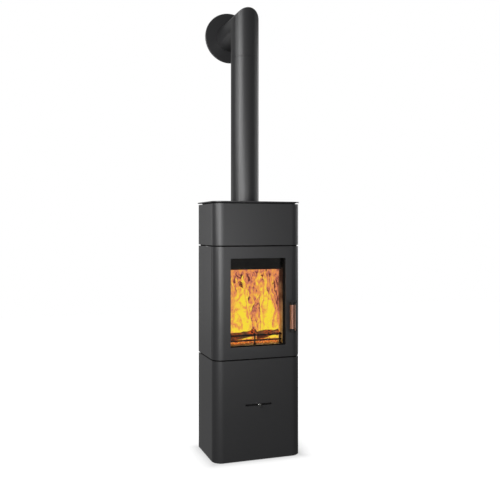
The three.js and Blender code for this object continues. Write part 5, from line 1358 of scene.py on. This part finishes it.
def coal_growth(material):
    """Lumps of charcoal strewn over a rectangle."""
    tree, given = new_growth("coal_bed", {
        "Width": 0.24, "Depth": 0.12, "Coals per area": 6000.0, "Coal radius": 0.009, "Seed": 3,
        "Place": (0.0, 0.0, 0.0),
    })
    bed = add(tree, "GeometryNodeMeshGrid", {
        "Size X": given["Width"], "Size Y": given["Depth"], "Vertices X": 12, "Vertices Y": 8,
    })
    strewn = add(tree, "GeometryNodeDistributePointsOnFaces", {
        "Mesh": bed, "Density": given["Coals per area"], "Seed": given["Seed"],
    })
    lump = add(tree, "GeometryNodeMeshIcoSphere", {"Radius": given["Coal radius"], "Subdivisions": 2})
    size = add(
        tree, "FunctionNodeRandomValue", {2: 0.5, 3: 1.1, "Seed": given["Seed"]}, data_type="FLOAT",
    )
    turn = add(
        tree, "FunctionNodeRandomValue", {0: (0.0, 0.0, 0.0), 1: (tau, tau, tau), "Seed": given["Seed"]},
        data_type="FLOAT_VECTOR",
    )
    coals = add(tree, "GeometryNodeInstanceOnPoints", {
        "Points": strewn, "Instance": lump, "Rotation": turn, "Scale": size,
    })
    real = add(tree, "GeometryNodeRealizeInstances", {"Geometry": coals})
    rough = add(tree, "ShaderNodeTexNoise", {"Scale": 1 / (8 * MM)})
    centred = add(
        tree, "ShaderNodeVectorMath", (rough.outputs["Color"], (0.5, 0.5, 0.5)), operation="SUBTRACT",
    )
    scaled = add(tree, "ShaderNodeVectorMath", (centred, (0.012, 0.012, 0.008)), operation="MULTIPLY")
    lumpy = add(tree, "GeometryNodeSetPosition", {"Geometry": real, "Offset": scaled})
    placed = add(tree, "GeometryNodeTransform", {"Geometry": lumpy, "Translation": given["Place"]})
    return finish_growth(tree, placed, material)


class STOVE_OT_fire(bpy.types.Operator):
    """Lays the logs and the coals and raises the flames"""

    bl_idname = "stove.fire"
    bl_label = "Logs and flames"

    def execute(self, context):
        fire = context.scene.stove_fire
        left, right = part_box("liner_left")[1].x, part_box("liner_right")[0].x
        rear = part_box("liner_rear")[0].y
        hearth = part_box("hearth_slab")[1].z
        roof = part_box("baffle_lower")[0].z

        wood = burning_beech_log()
        logs = []
        for x, y, lift, length, radius, heading, roll, tilt, seed in (
            (-0.056, -0.048, 0.036, 0.15, 0.030, 8, 100, -8, 1),
            (0.085, -0.046, 0.036, 0.12, 0.029, -8, 80, -7, 2),
            (0.005, 0.050, 0.037, 0.262, 0.035, -4, 70, 0, 3),
        ):
            logs.append(split_log((x, y, hearth + lift), length, radius, heading, roll, tilt, seed))
        # painted shade: three dark char scales high in front of the flames stand for dark gaps among them
        for x, z, length, width, lean, seed in (
            (-0.070, 0.886, 56 * MM, 24 * MM, -32, 1), (0.045, 0.932, 10 * MM, 18 * MM, 12, 2),
            (0.107, 0.890, 26 * MM, 8 * MM, 16, 3),
        ):
            logs.append(char_flake_painted_gap((x, -74 * MM, z), length, width, lean, seed))
        dress(joined("split_logs", logs, "char"), "stove", "firewood", wood)

        coal = glowing_charcoal()
        clear, depth, middle = 15 * MM, 150 * MM, 12 * MM
        bed = grown("bed_of_coals", coal_growth(coal), {
            "Width": right - left - 2 * clear, "Depth": depth, "Coal radius": fire.coals,
            "Seed": fire.seed, "Place": (0.0, middle, hearth + fire.coals),
        })
        dress(bed, "stove", "firewood", coal)

        back = flame_at_the_back(fire)
        side, wall, mouth, turn = right - 6 * MM, rear - 12 * MM, -78 * MM, 30 * MM
        right_hand = [(side, mouth + (wall - turn - mouth) * i / 16) for i in range(16)]
        right_hand += arc((side - turn, wall - turn), turn, 0, 90, 6)
        across = [((side - turn) * (1 - i / 20), wall) for i in range(1, 21)]
        half_way = right_hand + across
        path = half_way + [(-x, y) for x, y in reversed(half_way[:-1])]
        sheet = flame_curtain(path, hearth + 15 * MM, roof - 6 * MM, fire.seed)
        dress(joined("flame_curtain", [sheet], "warmth"), "stove", "flame", back)

        front = flame_over_the_logs(fire)
        rows = (
            (0.060, 7, 0.34, 0.080, 0.03, 0.95), (0.020, 6, 0.30, 0.086, 0.03, 0.85),
            (-0.010, 9, 0.060, 0.036, 0.016, 0.9),
        )
        headroom = roof - 12 * MM - hearth
        tongues = []
        for row, (y, count, height, width, lift, hot) in enumerate(rows):
            for i in range(count):
                seed = fire.seed + 10 * row + i
                vary = noise.noise(Vector((seed * 0.73, row * 1.9, 0.5)))
                reach = (right - left) / 2 - 0.62 * width
                x = reach * (2 * i / (count - 1) - 1) * 0.97 + 0.006 * vary
                tall = min(height * (1 + 0.5 * vary), headroom - lift)
                foot = (x, y, hearth + lift)
                broad = width * (1 + 0.3 * vary)
                tongues.append(flame_tongue(foot, tall, broad, 0.03 * vary, hot, seed))
        for x, y, height, width, lean, hot in (
            (-0.070, -0.030, 0.33, 0.085, 0.030, 1.0), (-0.040, -0.048, 0.26, 0.080, -0.004, 1.12),
            (-0.084, -0.052, 0.17, 0.055, -0.010, 0.92), (0.112, -0.030, 0.30, 0.080, -0.034, 1.0),
            (0.098, -0.050, 0.23, 0.074, 0.012, 1.12), (0.126, -0.056, 0.16, 0.040, 0.004, 0.9),
            (-0.124, -0.036, 0.22, 0.050, 0.004, 0.8), (0.030, -0.022, 0.22, 0.060, 0.020, 0.68),
            (0.022, -0.046, 0.13, 0.036, -0.012, 0.6),
        ):
            foot = (x, y, hearth + 30 * MM)
            tongues.append(flame_tongue(foot, height, width, lean, hot, fire.seed + 40 * x))
        dress(joined("flame_tongues", tongues, "warmth"), "stove", "flame", front)
        return {"FINISHED"}


# ------------ stage


def area_light(name, azimuth, height, size, power, distance=3.0):
    """A soft rectangular light. Azimuth 0 stands in front of the stove and 90 to its left."""
    light = bpy.data.lights.new(name, "AREA")
    light.shape = "RECTANGLE"
    light.size, light.size_y = size
    light.energy = power
    made = shown(name, light)
    turn = radians(azimuth)
    made.location = (-distance * sin(turn), -distance * cos(turn), height)
    made.rotation_euler = (pi / 2, 0.0, -turn)


def studio_world(strength):
    """A dim grey room that is brighter behind the stove, with a white backdrop for the camera."""
    world = bpy.data.worlds.new("studio")
    world.use_nodes = True
    tree = world.node_tree
    tree.nodes.clear()
    facing = add(tree, "ShaderNodeTexCoord").outputs["Generated"]
    split = add(tree, "ShaderNodeSeparateXYZ", {"Vector": facing})
    room = add(tree, "ShaderNodeMapRange", {
        "Value": split.outputs["Y"], "From Min": 0.5, "From Max": 0.9, "To Min": strength,
        "To Max": 2.3 * strength,
    })
    lit = add(tree, "ShaderNodeBackground", {"Strength": room})
    seen = add(tree, "ShaderNodeBackground", {"Color": linear(0xFFFFFF)})
    ray = add(tree, "ShaderNodeLightPath")
    both = add(tree, "ShaderNodeMixShader", (ray.outputs["Is Camera Ray"], lit, seen))
    add(tree, "ShaderNodeOutputWorld", {"Surface": both})
    return world


@surface
def matt_white_floor(tree, place, half_width, half_depth):
    """A matt white floor that glows, so that it meets the backdrop without a line. Round the
    stove's foot the glow fades: a painted contact shadow, like the shade that a real floor gets
    there from a white room."""
    aside = add(tree, "ShaderNodeVectorMath", (place,), operation="ABSOLUTE")
    beyond = add(
        tree, "ShaderNodeVectorMath", (aside, (half_width, half_depth, 0.0)), operation="SUBTRACT",
    )
    outside = add(tree, "ShaderNodeVectorMath", (beyond, (0.0, 0.0, 0.0)), operation="MAXIMUM")
    distance = add(tree, "ShaderNodeVectorMath", (outside,), operation="LENGTH")
    # painted contact shadow: the glow falls off close to the stove's footprint
    spread = add(tree, "ShaderNodeMath", (distance, -1 / (62 * MM)), operation="MULTIPLY")
    painted_contact_shadow = add(tree, "ShaderNodeMath", (spread,), operation="EXPONENT")
    glow = add(tree, "ShaderNodeMapRange", {"Value": painted_contact_shadow, "To Min": 0.98, "To Max": 0.52})
    return {
        "Base Color": linear(0x8C8C8C), "Roughness": 0.9, "Specular IOR Level": 0.0,
        "Emission Color": (1.0, 1.0, 1.0, 1.0), "Emission Strength": glow,
    }


class STOVE_OT_stage(bpy.types.Operator):
    """Sets up the pale floor, the soft lights and the camera"""

    bl_idname = "stove.stage"
    bl_label = "Stage"

    def execute(self, context):
        stage = context.scene.stove_stage
        scene = context.scene
        scene.world = studio_world(stage.room)
        scene.view_settings.view_transform = "Standard"

        half = 6.0
        corners = [(-half, -half, 0), (half, -half, 0), (half, half, 0), (-half, half, 0)]
        mesh = bpy.data.meshes.new("floor")
        mesh.from_pydata(corners, [], [(0, 1, 2, 3)])
        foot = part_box("lower_shell")[1]
        mesh.materials.append(matt_white_floor(foot.x, foot.y))
        floor = shown("floor", mesh)
        floor.visible_diffuse = False
        floor.visible_glossy = False
        floor.visible_transmission = False

        for name, azimuth, height, size, power in (
            ("low_left", 31, 1.1, (1.3, 1.3), stage.low), ("high_left", 63, 2.3, (0.8, 2.0), stage.high),
            ("high_front", 45, 2.3, (0.7, 2.0), 0.5 * stage.high),
            ("high_side", 88, 2.5, (0.9, 1.6), 0.3 * stage.high),
            ("low_behind", 140, 1.0, (1.2, 1.4), 0.08 * stage.high),
            ("front", 3, 0.95, (1.8, 1.2), stage.fill), ("right", -84, 1.7, (1.0, 2.8), 0.5 * stage.fill),
            ("right_behind", -118, 1.9, (1.2, 2.2), 0.7 * stage.fill),
            ("behind", -155, 1.4, (1.1, 2.2), 1.3 * stage.fill),
        ):
            area_light(name, azimuth, height, size, power)

        lens = bpy.data.cameras.new("camera")
        lens.lens = stage.lens
        lens.sensor_width = 36.0
        lens.shift_y = -0.0433
        camera = shown("camera", lens)
        camera.location = (-1.1939, -3.4515, 1.1773)
        camera.rotation_euler = (radians(90), 0.0, radians(-19.162))
        scene.camera = camera
        return {"FINISHED"}


# ------------ add-on


OPERATORS = (
    STOVE_OT_lower_casing, STOVE_OT_fire_door, STOVE_OT_upper_casing, STOVE_OT_flue, STOVE_OT_handle,
    STOVE_OT_air_control, STOVE_OT_firebox, STOVE_OT_fire, STOVE_OT_stage,
)


class STOVE_PT_panel(bpy.types.Panel):
    """Lists the steps that build the stove"""

    bl_idname = "STOVE_PT_panel"
    bl_label = "Stove"
    bl_space_type = "VIEW_3D"
    bl_region_type = "UI"
    bl_category = "Stove"

    def draw(self, context):
        for name in SETTINGS:
            settings = getattr(context.scene, name)
            for field in settings.bl_rna.properties:
                if field.identifier not in ("rna_type", "name"):
                    self.layout.prop(settings, field.identifier)
        for operator in OPERATORS:
            self.layout.operator(operator.bl_idname)


CLASSES = (*SETTINGS.values(), *OPERATORS, STOVE_PT_panel)


def register():
    for made in CLASSES:
        bpy.utils.register_class(made)
    for name, settings in SETTINGS.items():
        setattr(bpy.types.Scene, name, PointerProperty(type=settings))


def unregister():
    for name in SETTINGS:
        delattr(bpy.types.Scene, name)
    for made in reversed(CLASSES):
        bpy.utils.unregister_class(made)


def main():
    register()
    for operator in OPERATORS:
        getattr(bpy.ops.stove, operator.bl_idname.split(".")[1])()


if __name__ == "__main__":
    main()
